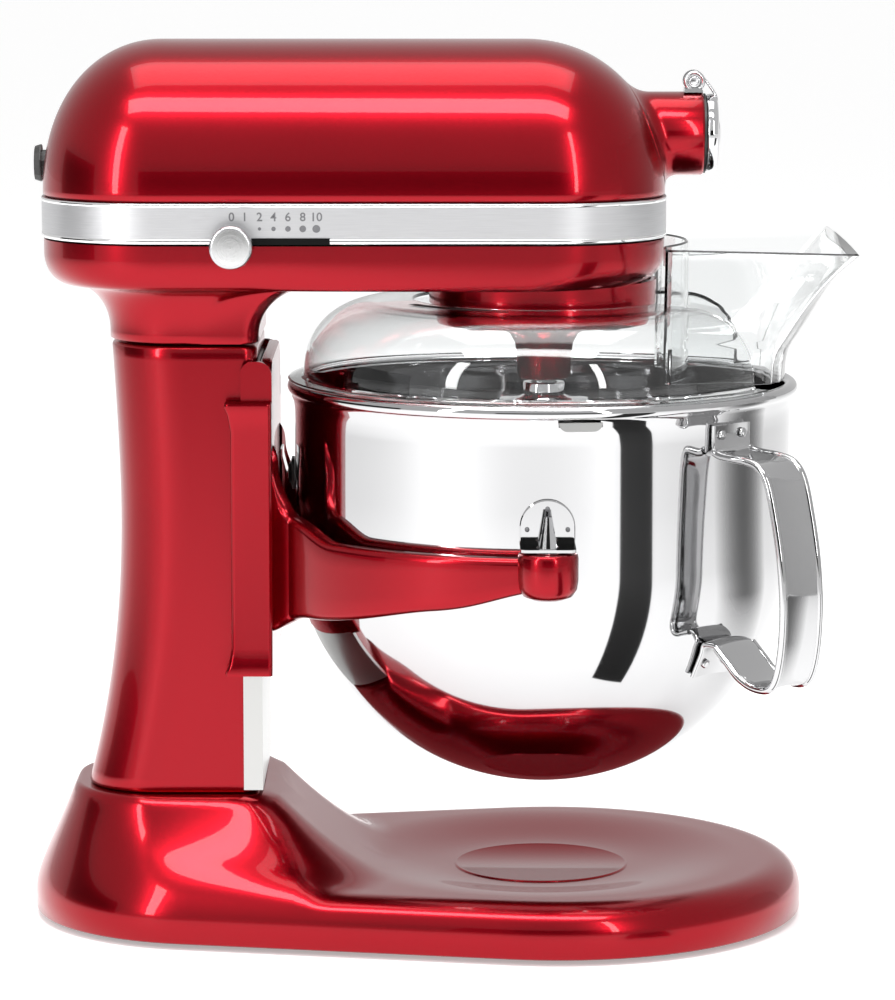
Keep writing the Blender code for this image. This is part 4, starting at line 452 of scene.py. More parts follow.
def make_base():
    """The base casting's outside, and a plain underside inside its edge."""
    rays = base_rays()
    rings = []
    under = ((0.004, 0.006), (0.004, BASE_UNDER + 0.0005), (0.0008, BASE_UNDER), (0.0, BASE_UNDER + 0.0008),
             (0.0, BASE_EDGE))
    for inset, height in under:
        rings.append([(x + (r - inset) * c, (r - inset) * s, height) for x, r, c, s in rays])
    shares = [1 - 0.145 * (1 - cos(pi / 2 * i / 14)) for i in range(1, 15)]
    shares += [0.855 * (1 - i / 56) for i in range(1, 57)]
    for share in shares:
        ring = []
        for x, r, c, s in rays:
            px, py = x + r * share * c, r * share * s
            ring.append((px, py, base_height(px, py, r * (1 - share))))
        rings.append(ring)
    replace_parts(loft("base_casting", rings, PAINT, "stand", caps=False, sharp=60), "base")
    disc = [(0, 0), (0.0398, 0), (0.0404, 0.0004), (0.0410, 0.0005), (0.0417, 0.0004), (DISH_RADIUS, -0.0006)]
    lathe("dish_disc", disc, PAINT, "stand", sharp=80, turn=Matrix.Translation((0, 0, DISH_HEIGHT + 0.0001)))


# ------------------------ column and head
def column_rear(height):
    """Rear edge of the column: flared to the pedestal, waisted, then out to the neck."""
    if height < 0.200:
        return -0.2005 - 0.0165 * ((0.200 - height) / 0.134) ** 2.2
    return -0.2005 - 0.0035 * ((height - 0.200) / 0.079) ** 1.5


def column_outline(height, inset=0.0):
    rear, front = column_rear(height) + inset, COLUMN_FRONT - inset
    return rounded(rear, front, COLUMN_HALF - inset, 0.034 - inset, 0.007)


def make_column():
    """The column, eased in at both seams."""
    low, high = PEDESTAL_TOP + 0.0002, NECK_SEAM - 0.0006
    stops = [(low, 0.0016), (low + 0.0006, 0.0005), (low + 0.0016, 0.0)]
    stops += [(low + 0.0016 + (high - low - 0.0032) * i / 40, 0.0) for i in range(1, 40)]
    stops += [(high - 0.0016, 0.0), (high - 0.0006, 0.0005), (high, 0.0016)]
    rings = [level(column_outline(h, inset), h) for h, inset in stops]
    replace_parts(loft("column_casting", rings, PAINT, "stand", sharp=60), "column")


def head_outline(inset=0.0):
    radius = HEAD_CORNER - inset
    return rounded(HEAD_REAR + inset, HEAD_FRONT - inset, HEAD_HALF - inset, radius, radius, 22, 22)


def make_head_lower():
    """Neck and lower head: each point runs up a hollow fillet, out, and round the lower edge."""
    rear, front = column_rear(NECK_SEAM) - 0.0006, COLUMN_FRONT + 0.0008
    start = rounded(rear, front, COLUMN_HALF + 0.001, 0.034, 0.008, 22, 22)
    end = head_outline(0.0008)
    low = NECK_SEAM + 0.0006
    rows = [("in", i) for i in range(3)] + [("hollow", i) for i in range(18)]
    rows += [("flat", i) for i in range(10)] + [("edge", i) for i in range(15)] + [("wall", 0)]
    rings = []
    for kind, step in rows:
        rings.append([neck_point(kind, step, Vector(a), Vector(b), low) for a, b in zip(start, end)])
    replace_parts(loft("head_lower_casting", rings, PAINT, "stand", sharp=60), "head_lower")


def neck_point(kind, step, start, end, low):
    """One point of the neck's path from the column's top out to the head's side."""
    run = (end - start).length
    out = (end - start) / run
    hollow, edge = min(0.026, 0.58 * run), min(0.016, 0.38 * run)
    climb, turn = HEAD_UNDER - low - 0.004, 0.0145
    if kind == "in":
        return (*(start - out * 0.0014 * (1 - step / 2)), low + 0.0008 * step / 2)
    if kind == "hollow":
        a = pi / 2 * step / 17
        return (*(start + out * hollow * (1 - cos(a))), low + 0.004 + climb * sin(a))
    if kind == "flat":
        return (*(start + out * (hollow + (run - edge - hollow) * (step + 1) / 11)), HEAD_UNDER)
    if kind == "edge":
        a = pi / 2 * step / 14
        return (*(start + out * (run - edge * (1 - sin(a)))), HEAD_UNDER + turn * (1 - cos(a)))
    return (*end, BAND_LOW - 0.0006)


def make_head_upper():
    """Upper head: the outline closes over the top towards its middle line."""
    outline = head_outline(0.0006)
    recess = head_outline(0.0022)
    low = BAND_HIGH + 0.001
    rings = [level(recess, BAND_LOW + 0.001), level(recess, BAND_HIGH - 0.0002)]
    rings.append(level(head_outline(0.0012), BAND_HIGH + 0.0005))
    for i in range(57):
        a = pi / 2 * i / 56
        height = low + (HEAD_TOP - low) * sin(a) ** (2 / HEAD_POWER)
        share = cos(a) ** (2 / HEAD_POWER)
        ring = []
        for x, y in outline:
            centre = min(SPINE_FRONT, max(SPINE_REAR, x))
            ring.append((centre + (x - centre) * share, y * share, height))
        rings.append(ring)
    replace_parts(loft("head_upper_casting", rings, PAINT, "stand", caps=False, sharp=60), "head_upper")
    make_hub_boss()


def head_front(y, z):
    """How far forward the upper head reaches at a place beside its middle."""
    rise = min(0.999, max(0.0, (z - BAND_HIGH - 0.001) / (HEAD_TOP - BAND_HIGH - 0.001)))
    share = (1 - rise ** HEAD_POWER) ** (1 / HEAD_POWER)
    across = min(abs(y) / share - (HEAD_HALF - HEAD_CORNER), HEAD_CORNER)
    round_in = HEAD_CORNER - sqrt(HEAD_CORNER ** 2 - max(0.0, across) ** 2)
    return SPINE_FRONT + (HEAD_FRONT - round_in - SPINE_FRONT) * share


def make_hub_boss():
    """Boss of the hub, growing out of the head through a hollow fillet that follows its surface."""
    rings = [[] for _ in range(17)]
    for i in range(96):
        a = tau * i / 96
        cosine, sine = cos(a), sin(a)
        outside = head_front(HUB_RADIUS * cosine, HUB_HEIGHT + HUB_RADIUS * sine)
        far = HUB_RADIUS + 0.0060
        start = Vector((head_front(far * cosine, HUB_HEIGHT + far * sine) - 0.0004, far))
        middle = Vector((outside, HUB_RADIUS))
        end = Vector((min(outside + 0.0065, HUB_FACE - 0.004), HUB_RADIUS))
        line = [Vector((start.x - 0.006, far + 0.001))]
        for k in range(11):
            t = k / 10
            line.append(start * (1 - t) ** 2 + middle * 2 * t * (1 - t) + end * t * t)
        line += [Vector((HUB_FACE - 0.0012, HUB_RADIUS)), Vector((HUB_FACE - 0.0004, HUB_RADIUS - 0.0004)),
                 Vector((HUB_FACE, HUB_RADIUS - 0.0012)), Vector((HUB_FACE, 0.0156)), Vector((0.045, 0.0156))]
        for ring, spot in zip(rings, line):
            ring.append((spot.x, spot.y * cosine, HUB_HEIGHT + spot.y * sine))
    loft("hub_boss", rings, PAINT, "stand", caps=False, sharp=50)


def make_band():
    """Brushed band with a polished line along each edge, a near-black sheet over the control's slot as
    painted shade for its opening, and its scale.
    """
    low, high = BAND_LOW + 0.0004, BAND_HIGH - 0.0004
    section = ((0.0018, low), (0, low), (0, high), (0.0018, high))
    rings = [level(head_outline(inset), z) for inset, z in section]
    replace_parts(loft("trim_band_metal", rings, BAND, "stand", wrap=True, sharp=30), "trim_band")
    for place, height, size in (("upper", high - 0.0009, 0.0009), ("lower", low + 0.0011, 0.0011)):
        section = [(cos(radians(a)) * 0.00045, sin(radians(a)) * size) for a in range(0, 360, 30)]
        rings = [level(head_outline(0.0001 - out), height + up) for out, up in section]
        loft(f"band_edge_{place}", rings, EDGE, "stand", wrap=True, sharp=60)
    # The slot: a thin near-black sheet laid on the band along the knob's travel, painted shade standing in
    # for the slot's dark opening.
    front = -HEAD_HALF - 0.0007
    start, end = KNOB.x - 0.004, KNOB.x + SPEED_TRAVEL + 0.0062
    below, above = low - 0.0002, low + 0.0028
    outline = [(start, below), (end, below), (end, above), (start, above)]
    rings = [[(x, y, z) for x, z in outline] for y in (front + 0.0012, front)]
    loft("speed_slot_painted_shade", rings, PAINTED_SLOT_SHADE, "stand", sharp=20)
    make_scale(front + 0.0004, low)


def make_scale(y, low):
    """Dial numbers over the slot, with dots that grow with the speed."""
    for number, share in ((0, 0.0), (1, 0.155), (2, 0.33), (4, 0.495), (6, 0.665), (8, 0.84), (10, 1.0)):
        x = KNOB.x + SPEED_TRAVEL * share
        text = bpy.data.curves.new(f"dial_{number}", "FONT")
        text.body = str(number)
        text.size = 0.0056
        text.offset = 0.00008
        text.align_x = "CENTER"
        text.extrude = 0.00003
        made = put(f"dial_{number}", text)
        made.location = AXIS + Vector((x, y + 0.0002, low + 0.0108))
        made.rotation_euler = (pi / 2, 0, 0)
        text.materials.append(INK.material)
        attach(made, "stand")
        if number > 1:
            radius = 0.0005 + 0.0013 * number / 10
            dot = [(0, 0), (radius, 0), (radius, 0.0001), (0, 0.0001)]
            spot = (x, y + 0.0002, low + 0.0072)
            lathe(f"dial_dot_{number}", dot, INK, "stand", 24, caps=True, turn=about_y(spot, -1))


def make_knob():
    """Speed knob: a turned cap with a bright chamfer and a darker flank."""
    profile = [(0, 0.0008), (0.0080, 0.0008), (0.0088, 0.0012), (0.0088, 0.0030), (0.0099, 0.0034),
               (0.0099, 0.0110), (0.0097, 0.0114), (0.0092, 0.0118), (0.0085, 0.0120)]
    turn = about_y((KNOB.x, -HEAD_HALF, KNOB.z), -1)
    side = lathe("speed_knob_side", profile, KNOB_SIDE, "speed_control", 96, turn=turn, sharp=25)
    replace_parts(side, "speed_knob")
    face = [(0.0086, 0.0119), (0.0060, 0.01215), (0.0030, 0.01225), (0, 0.0123)]
    lathe("speed_knob_face", face, KNOB_FACE, "speed_control", 96, turn=turn)


# ------------------------ hub
def make_hub():
    """Plated cover with a raised centre, its rolled hinge, and the dark seat behind it."""
    back = HUB_FACE + 0.0009
    seat = [(0.0150, -0.0006), (0.0188, -0.0006), (0.0188, 0.0008), (0.0150, 0.0008)]
    lathe("hub_seat", seat, BLACK, "stand", 96, wrap=True, turn=about_x((HUB_FACE, 0, HUB_HEIGHT)))
    profile = [(0, 0), (0.0176, 0), (0.0184, 0.0007), (0.0186, 0.0018), (0.0186, 0.0034), (0.0178, 0.0050),
               (0.0160, 0.0057), (0.0120, 0.0058), (0.0106, 0.0053), (0.0094, 0.0053), (0.0080, 0.0060),
               (0.0050, 0.0070), (0, 0.0074)]
    cover = lathe("hub_cover_plated", profile, CHROME, "cover", 96, turn=about_x((back, 0, HUB_HEIGHT)))
    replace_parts(cover, "hub_cover")
    roll = [(0.0014, -0.0044), (0.0034, -0.0044), (0.0034, 0.0044), (0.0014, 0.0044)]
    lathe("cover_roll", roll, SATIN, "cover", 32, wrap=True, turn=about_y(HUB_PIN))
    path = [(HUB_PIN.x + 0.0028, HUB_PIN.z + 0.0012), (HUB_PIN.x + 0.0062, HUB_PIN.z - 0.0030),
            (back + 0.0048, HUB_PIN.z - 0.0080), (back + 0.0052, HUB_PIN.z - 0.0145)]
    strip("cover_leaf", path, 0.0088, 0.0013, CHROME, "cover")
    cheek = [(0, 0), (0.0049, 0), (0.0051, 0.0004), (0.0050, 0.0011), (0.0045, 0.0017), (0.0040, 0.0018),
             (0.0035, 0.0015), (0.0031, 0.0009), (0.0024, 0.0008), (0.0020, 0.0010), (0.0016, 0.0016),
             (0, 0.0019)]
    for side in (-1, 1):
        turn = about_y((HUB_PIN.x - 0.0012, side * 0.0048, HUB_PIN.z - 0.0006), side)
        lathe(f"hinge_cheek_{side + 1}", cheek, SATIN, "stand", 48, caps=True, turn=turn)
    low = HUB_HEIGHT + HUB_RADIUS - 0.0002
    foot = [(HUB_PIN.x - 0.0060, low), (HUB_FACE - 0.0004, low), (HUB_FACE - 0.0012, low + 0.0022),
            (HUB_PIN.x - 0.0058, low + 0.0018)]
    rings = [[(x, y, z) for x, z in foot] for y in (-0.0066, 0.0066)]
    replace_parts(loft("hinge_foot", rings, SATIN, "stand", sharp=30), "hinge_ear")


def strip(name, path, width, thick, finish, body, turn=None, crown=0.0):
    """A bent strip: (x, z) points in order, width along Y before turning, thickness across."""
    line = curve_through([(x, 0, z) for x, z in path], 8)
    rings = []
    for i, here in enumerate(line):
        ahead = (line[min(i + 1, len(line) - 1)] - line[max(i - 1, 0)]).normalized()
        across = Vector((0, 1, 0))
        normal = ahead.cross(across).normalized()
        ring = []
        for side, face in strip_section(width, thick):
            bend = crown * (1 - (2 * side / width) ** 2)
            ring.append(here + across * side + normal * (face - bend))
        rings.append(ring)
    return loft(name, rings, finish, body, turn=turn, sharp=50)


def strip_section(width, thick):
    """Section of a strip with rounded edges, with points across it."""
    half, edge = width / 2, thick / 2
    made = arc((half - edge, 0), edge, -90, 90, 6)
    made += [(half - edge - (width - thick) * i / 8, edge) for i in range(1, 8)]
    made += arc((-half + edge, 0), edge, 90, 270, 6)
    made += [(-half + edge + (width - thick) * i / 8, -edge) for i in range(1, 8)]
    return made


# ------------------------ planetary and hook
def make_planetary():
    """Housing ring under the head, the carrier's face, and the beater's boss."""
    top = HEAD_UNDER + 0.001
    housing = [(0.0516, 0.2945), (0.0532, 0.2945), (0.0540, 0.2953), (0.0540, 0.3030), (0.0540, top),
               (0.0516, top)]
    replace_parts(lathe("gear_housing_ring", housing, PAINT, "stand", wrap=True), "gear_housing")
    face = [(0, 0.2950), (0.0496, 0.2950), (0.0502, 0.2944), (0.0502, 0.2900), (0.0494, 0.2876),
            (0.0470, 0.2866), (0, 0.2862)]
    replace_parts(lathe("carrier_face", face, PAINT, "planetary"), "planet_carrier")
    boss = [(0.0190, 0.2866), (0.0160, 0.2848), (0.0136, 0.2800), (0.0128, 0.2740), (0.0126, 0.2650),
            (0.0120, 0.2632), (0.0108, 0.2626), (0.0064, 0.2626), (0.0064, 0.2700)]
    lathe("beater_boss", boss, PAINT, "planetary", 64, turn=Matrix.Translation(BEATER))
    screw = [(0.0052, 0.2868), (0.0050, 0.2856), (0.0034, 0.2850), (0.0030, 0.2856), (0, 0.2856)]
    for number in range(3):
        a = radians(90 + 120 * number)
        spot = Matrix.Translation((0.036 * cos(a), 0.036 * sin(a), 0))
        lathe(f"carrier_screw_{number}", screw, STEEL, "planetary", 24, turn=spot)


def hook_reach(share):
    """How far the hook stands off its axis; the last of it runs down the axis."""
    return 0.036 * sin(pi * share / 0.96) ** 0.7 if share < 0.96 else 0.0


def make_hook():
    """Plated hook: collar, round disc and a tapering spiral."""
    disc = [(0.0064, 0.0108), (0.0092, 0.0110), (0.0098, 0.0102), (0.0098, 0.0030), (0.0120, 0.0012),
            (0.0180, 0.0004), (0.0208, 0), (0.0214, -0.0008), (0.0208, -0.0018), (0.0120, -0.0024),
            (0.0096, -0.0036), (0.0080, -0.0100), (0.0070, -0.0130), (0, -0.0140)]
    turn = Matrix.Translation(BEATER + Vector((0, 0, HOOK_DISC)))
    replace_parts(lathe("hook_collar", disc, CHROME, "hook", 64, turn=turn), "dough_hook")
    top = HOOK_DISC - 0.009
    centres = []
    for s in range(141):
        share = s / 140
        a = radians(-200 + 430 * share)
        reach = hook_reach(share)
        spot = Vector((reach * cos(a), reach * sin(a), top - (top - HOOK_BOTTOM) * share))
        centres.append(BEATER + spot)
    tube("hook_spiral", centres, lambda share: 0.0067 * (1 - 0.35 * share), CHROME, "hook")


def tube(name, line, radius_at, finish, body, sides=28):
    """A round rod along a line, its radius from its share of the length."""
    rings = []
    upright = Vector((0, 0, 1))
    last = len(line) - 1
    side = None
    for i, here in enumerate(line):
        ahead = (line[min(i + 1, last)] - line[max(i - 1, 0)]).normalized()
        if side is None:
            side = ahead.cross(upright).normalized() if abs(ahead.z) < 0.98 else Vector((1, 0, 0))
        side = (side - ahead * side.dot(ahead)).normalized()
        other = ahead.cross(side)
        radius = radius_at(i / last)
        angles = [tau * k / sides for k in range(sides)]
        rings.append([here + side * radius * cos(a) + other * radius * sin(a) for a in angles])
    return loft(name, rings, finish, body, sharp=60)


# ------------------------ bowl support
def make_support():
    """Cast support: plate on the track, side bars, an arm each side, and its bosses."""
    plate = upright_plate()
    rings = [[(x, y * s, 0.199 + (z - 0.199) * s) for y, z in plate]
             for x, s in ((-0.1316, 1.0), (-0.1280, 1.0), (SUPPORT_FACE, 0.988))]
    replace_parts(loft("support_plate", rings, PAINT, "carriage", sharp=35), "bowl_support")
    for side in (-1, 1):
        cheek = [(-0.1415, 0.2450), (SUPPORT_FACE, 0.2450), (SUPPORT_FACE, 0.2560)]
        cheek += arc((-0.1335, 0.2655), 0.0065, 0, 90, 8) + arc((-0.1360, 0.2665), 0.0055, 90, 180, 8)
        rings = [[(x, side * y, z) for x, z in cheek] for y in (0.0500, 0.0532)]
        loft(f"support_cheek_{side + 1}", rings, PAINT, "carriage", sharp=35)
        make_side_bar(side)
        make_arm(side)
        boss = [(0, 0.1728), (0.0070, 0.1730), (0.0112, 0.1746), (0.0132, 0.1778), (0.0138, 0.1820),
                (0.0138, 0.1922), (0.0134, 0.1936), (0.0124, 0.1943), (0, 0.1944)]
        spot = Matrix.Translation((0, side * PIN_Y, 0))
        lathe(f"support_boss_{side + 1}", boss, PAINT, "carriage", 64, turn=spot)


def upright_plate():
    """Outline of the plate: wide below, rounded in above."""
    half = 0.0526
    made = [(-half, 0.1255), (half, 0.1255), (half, 0.2600)]
    made += arc((half - 0.012, 0.2605), 0.012, 0, 90, 8) + arc((-half + 0.012, 0.2605), 0.012, 90, 180, 8)
    return made + [(-half, 0.2600)]


def make_side_bar(side):
    """Bar beside the track, its ends flared outwards."""
    rings = []
    for z, flare in ((0.1250, 0.0026), (0.1262, 0.0030), (0.1300, 0.0014), (0.1380, 0.0), (0.2400, 0.0),
                     (0.2480, 0.0014), (0.2518, 0.0030), (0.2530, 0.0026)):
        section = rounded(-0.1462 - flare, SUPPORT_FACE, 0.0050 + flare / 2, 0.0022, 0.0022, 5, 3)
        rings.append([(x, side * (0.0552 + y), z) for x, y in section])
    loft(f"support_bar_{side + 1}", rings, PAINT, "carriage", sharp=50)


def make_arm(side):
    """Arm: leaves the plate's edge, follows the bowl's round, and ends in the boss."""
    line = arc((0, 0), ARM_RADIUS, 91, 153, 40)
    tail = (line[-1], (-0.1215, 0.0525), (-0.1275, 0.0490), (-0.1300, 0.0440))
    line += [tuple(p) for p in curve_through(tail, 6)[1:]]
    rings = []
    for i, (x, y) in enumerate(line):
        ahead = Vector(line[min(i + 1, len(line) - 1)]) - Vector(line[max(i - 1, 0)])
        across = Vector((-ahead.y, ahead.x)).normalized()
        low = 0.1765 - 0.010 * smooth_step(-x / 0.05) - 0.0125 * smooth_step((-x - 0.04) / 0.075)
        low -= 0.0100 * smooth_step((-x - 0.108) / 0.022)
        high = 0.1918 + 0.0080 * smooth_step((-x - 0.096) / 0.020)
        high += 0.0360 * smooth_step((-x - 0.113) / 0.020) ** 1.6
        ring = []
        for out, up in rounded(-0.0046, 0.0046, (high - low) / 2, 0.0034, 0.0034, 6, 4):
            spot = Vector((x, y)) + across * out
            ring.append((spot.x, side * spot.y, (low + high) / 2 + up))
        rings.append(ring)
    loft(f"support_arm_{side + 1}", rings, PAINT, "carriage", sharp=60)


# ------------------------ bowl
def wall_radius(height):
    middle = BOWL_BOTTOM + BOWL_ROUND
    if height >= middle:
        return BOWL_RADIUS
    return BOWL_RADIUS * sqrt(max(0.0, 1 - ((middle - height) / BOWL_ROUND) ** 2))


def make_bowl():
    """Bowl spun from sheet: round below, straight above, flared under a rolled rim."""
    outside = []
    for i in range(49):
        a = pi / 2 * i / 48
        outside.append((BOWL_RADIUS * sin(a), BOWL_BOTTOM + BOWL_ROUND * (1 - cos(a))))
    flare = ((0, 0.21), (0, 0.240), (0.0002, 0.2455), (0.0008, 0.2490), (0.0018, 0.2515))
    outside += [(BOWL_RADIUS + out, z) for out, z in flare]
    bead = arc((BOWL_RADIUS + 0.0001, RIM_HEIGHT), RIM_BEAD, -55, 175, 18)
    within = BOWL_RADIUS - BOWL_SHEET
    inside = [(within - 0.0012, 0.2515), (within, 0.247)]
    inside += [(r * within / BOWL_RADIUS, z + BOWL_SHEET) for r, z in reversed(outside[:50])]
    made = lathe("bowl_spun", outside + bead + inside, MIRROR, "carriage", 192, sharp=50)
    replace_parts(made, "bowl")


def rivet(name, radius, place, out, finish=MIRROR):
    """A low domed rivet head on the bowl's wall, facing out."""
    facing = Vector(out).to_track_quat("Z", "Y").to_matrix().to_4x4()
    dome = [(radius, -0.0004), (radius, 0.0002), (radius * 0.85, 0.0006), (radius * 0.5, 0.0009), (0, 0.0010)]
    lathe(name, dome, finish, "carriage", 20, turn=Matrix.Translation(place) @ facing)


def make_handle():
    """Wide strap handle with rolled edges, plates at both ends and their rivets."""
    wall = BOWL_RADIUS + HANDLE_OFF
    path = [(wall, 0.2470), (wall, 0.2390), (wall + 0.0012, 0.2350), (wall + 0.0060, 0.2335),
            (0.1400, 0.2325), (0.1480, 0.2300), (0.1535, 0.2225), (0.1580, 0.2060), (0.1615, 0.1880),
            (0.1632, 0.1680), (0.1622, 0.1480), (0.1590, 0.1340), (0.1540, 0.1290), (0.1450, 0.1290),
            (0.1370, 0.1325), (0.1300, 0.1385), (0.1230, 0.1445)]
    path += [(wall_radius(z - up) + HANDLE_OFF + out, z) for z, up, out in
             ((0.1448, 0.0008, 0.001), (0.1400, 0, 0.0004), (0.1290, 0, 0))]
    made = strip("handle_strap", path, 0.0255, 0.0022, MIRROR, "carriage", HANDLE_TURN, crown=0.0012)
    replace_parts(made, "bowl_handle")
    for side in (-1, 1):
        edge = curve_through([(x, side * 0.0124, z) for x, z in path[2:17]], 8)
        line = [HANDLE_TURN @ p for p in edge]
        tube(f"handle_roll_{side + 1}", line, lambda share: 0.0019, MIRROR, "carriage", 14)
        for place, height, lean in (("top", 0.2425, 0.0), ("foot", 0.1350, -0.55)):
            spot = Vector((wall_radius(height) + HANDLE_OFF + 0.0012, side * 0.0070, height))
            facing = HANDLE_TURN @ Vector((1, 0, lean))
            rivet(f"handle_rivet_{place}_{side + 1}", 0.0022, HANDLE_TURN @ spot, facing)


def make_brackets():
    """Arched plates over the locating pins, each with three rivets and a holed tab."""
    for side, name in ((-1, "right"), (1, "left")):
        half, low, top = 0.0126, BOSS_TOP + 0.0008, 0.2168
        outline = [(-half, low), (-half * 0.5, low), (0, low), (half * 0.5, low), (half, low)]
        outline += arc((0, top - half), half, 0, 180, 24)
        rings = []
        for depth, shrink in ((0.0002, 1.0), (0.0011, 1.0), (0.0015, 0.965)):
            ring = []
            for x, z in outline:
                x, z = x * shrink, low + (z - low) * shrink
                ring.append((x, side * sqrt((BOWL_RADIUS + depth) ** 2 - x * x), z))
            rings.append(ring)
        plate = loft(f"bracket_plate_{name}", rings, MIRROR, "carriage", sharp=25)
        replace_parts(plate, f"bowl_bracket_{name}")
        make_tab(name, side, half, low)
        for number, (x, z) in enumerate(((0.0, 0.2125), (-0.0092, 0.2030), (0.0092, 0.2030))):
            spot = (x, side * (BOWL_RADIUS + 0.0014), z)
            rivet(f"bracket_rivet_{name}_{number}", 0.0011, spot, (0, side, 0), INK)


def make_tab(name, side, half, low):
    """Level tab with a round hole that drops over the locating pin."""
    end = PIN_Y + 0.0085
    outer = [(half, BOWL_RADIUS - 0.0004), (half, end - 0.003)]
    outer += arc((half - 0.003, end - 0.003), 0.003, 0, 90, 6)
    outer += arc((-half + 0.003, end - 0.003), 0.003, 90, 180, 6)
    outer += [(-half, BOWL_RADIUS - 0.0004)]
    middle = Vector((0, PIN_Y))
    inner, rim = [], []
    for i in range(48):
        out = Vector((cos(tau * i / 48), sin(tau * i / 48)))
        inner.append(tuple(middle + 0.0054 * out))
        rim.append(edge_towards(outer, middle, out))
    rings = []
    for outline, z in ((inner, low), (rim, low), (rim, low + 0.0013), (inner, low + 0.0013)):
        rings.append([(x, side * y, z) for x, y in outline])
    loft(f"bracket_tab_{name}", rings, MIRROR, "carriage", wrap=True, sharp=30)


def edge_towards(outline, start, heading):
    """Where a ray from inside an outline meets it."""
    for a, b in zip(outline, outline[1:] + outline[:1]):
        a, b = Vector(a), Vector(b)
        run = b - a
        det = run.x * heading.y - run.y * heading.x
        if abs(det) < 1e-12:
            continue
        gap = a - start
        along = (gap.y * heading.x - gap.x * heading.y) / det
        reach = (run.x * gap.y - run.y * gap.x) / det
        if -1e-9 <= along <= 1 + 1e-9 and reach > 0:
            return tuple(start + heading * reach)
    return tuple(start + heading * 0.01)


# ------------------------ pouring shield
def dome_line(inset):
    """Line of the dome from its opening down to its foot."""
    foot, top = (BOWL_RADIUS - 0.0042 - inset, 0.2640), (0.080, SHIELD_TOP - inset)
    made = [(SHIELD_OPENING, SHIELD_TOP + 0.0006 - inset), (0.070, SHIELD_TOP + 0.0004 - inset)]
    for i in range(21):
        a = pi / 2 * (1 - i / 20)
        made.append((top[0] + (foot[0] - top[0]) * cos(a), foot[1] + (top[1] - foot[1]) * sin(a)))
    return made


def make_shield():
    """Clear dome on the rim with an opening towards the chute, and the chute's walls."""
    profile = dome_line(0.0)
    profile += [(BOWL_RADIUS - 0.0040, 0.2612), (BOWL_RADIUS - 0.0028, SHIELD_FOOT), (0.1205, 0.2600),
                (0.1212, 0.2594), (0.1160, 0.2592), (BOWL_RADIUS - 0.0060, 0.2592)]
    profile += reversed(dome_line(SHIELD_WALL))
    open_half = asin((THROAT_HALF + 0.002) / 0.085)
    rings = []
    for i in range(151):
        a = open_half + (tau - 2 * open_half) * i / 150
        rings.append([(r * cos(a), r * sin(a), z) for r, z in profile])
    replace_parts(loft("shield_dome", rings, CLEAR, "carriage", sharp=35), "pouring_shield")
    make_shield_trim()
    make_chute()


def make_shield_trim():
    """Clip tab under the rim in front, and a plain dark strip on the dome beside the head."""
    half, low, high = 0.0100, 0.2478, 0.2512
    outline = [(-half, high), (half, high), (half, low + 0.002)]
    outline += arc((half - 0.004, low + 0.004), 0.004, 0, -90, 6)
    outline += arc((-half + 0.004, low + 0.004), 0.004, -90, -180, 6)
    outline += [(-half, low + 0.002)]
    middle = radians(-83)
    rings = []
    for reach in (BOWL_RADIUS + 0.0030, BOWL_RADIUS + 0.0046):
        places = [(middle + x / reach, z) for x, z in outline]
        rings.append([(reach * cos(a), reach * sin(a), z) for a, z in places])
    loft("shield_tab", rings, TRACK, "carriage", sharp=30)
    points = []
    for r, z in ((0.0685, 0.0008), (0.0705, 0.0008), (0.0735, 0.0006)):
        points += [(x, y, SHIELD_TOP + z) for x, y in arc((0, 0), r, -150, -104, 40)]
    faces = [(i, i + 1, i + 42, i + 41) for i in (*range(40), *range(41, 81))]
    piece("shield_strip", points, faces, BLACK, "carriage")


def chute_section(height, spread, inset):
    """Plan of the chute's wall at a height, from its throat (spread 0) to its mouth (1)."""
    back = 0.0675 + inset
    half_back = THROAT_HALF + 0.0195 * spread - inset
    half_front = THROAT_HALF + 0.0425 * spread - inset
    front = 0.1153 + 0.0285 * spread ** 0.85 - inset
    end = asin(0.0385 / back)
    wing = back * cos(end)
    corner = 0.006 - 0.0035 * spread - 0.5 * inset
    made = [(wing, -half_back + 0.002)] + arc((0, 0), back, -degrees(end), degrees(end), 16)
    made += [(wing, half_back - 0.002), (wing + 0.002, half_back)]
    tilt = 90 + degrees(atan2(half_front - half_back, front - wing))
    middle, across = front - corner - bow_at(half_front, spread), half_front - corner
    made += arc((middle, across), corner, tilt, 0, 8)
    made += [(front - bow_at(y, spread), y) for y in (across * (1 - i / 8) for i in range(1, 16))]
    made += arc((middle, -across), corner, 0, -tilt, 8)
    return level(made + [(wing + 0.002, -half_back)], height)


def bow_at(y, spread):
    """How far the front wall stands back beside its middle."""
    throat = 0.1155 - sqrt(0.1155 ** 2 - y * y)
    return throat * (1 - spread) + 0.001 * (y / 0.085) ** 2 * spread


def make_chute():
    """Chute: narrow at the rim, spread out to its mouth, open above and below."""
    levels = [(SHIELD_FOOT, 0.0), (0.2690, 0.01), (0.2740, 0.04)]
    levels += [(THROAT_TOP + (CHUTE_TOP - THROAT_TOP) * i / 10, 0.08 + 0.92 * i / 10) for i in range(11)]
    outside = [chute_section(z, spread, 0.0) for z, spread in levels]
    inside = [chute_section(z, spread, SHIELD_WALL) for z, spread in reversed(levels)]
    lip = [(x, y, CHUTE_TOP + 0.0008) for x, y, _ in chute_section(CHUTE_TOP, 1.0, SHIELD_WALL / 2)]
    loft("shield_chute", outside + [lip] + inside, CLEAR, "carriage", wrap=True)


# ------------------------ studio
def soft_light(name, place, aim, size, power):
    lamp = bpy.data.lights.new(name, "AREA")
    lamp.shape = "RECTANGLE"
    lamp.size, lamp.size_y = size
    lamp.energy = power
    made = put(name, lamp)
    made.location = place
    made.rotation_euler = (Vector(aim) - Vector(place)).to_track_quat("-Z", "Y").to_euler()


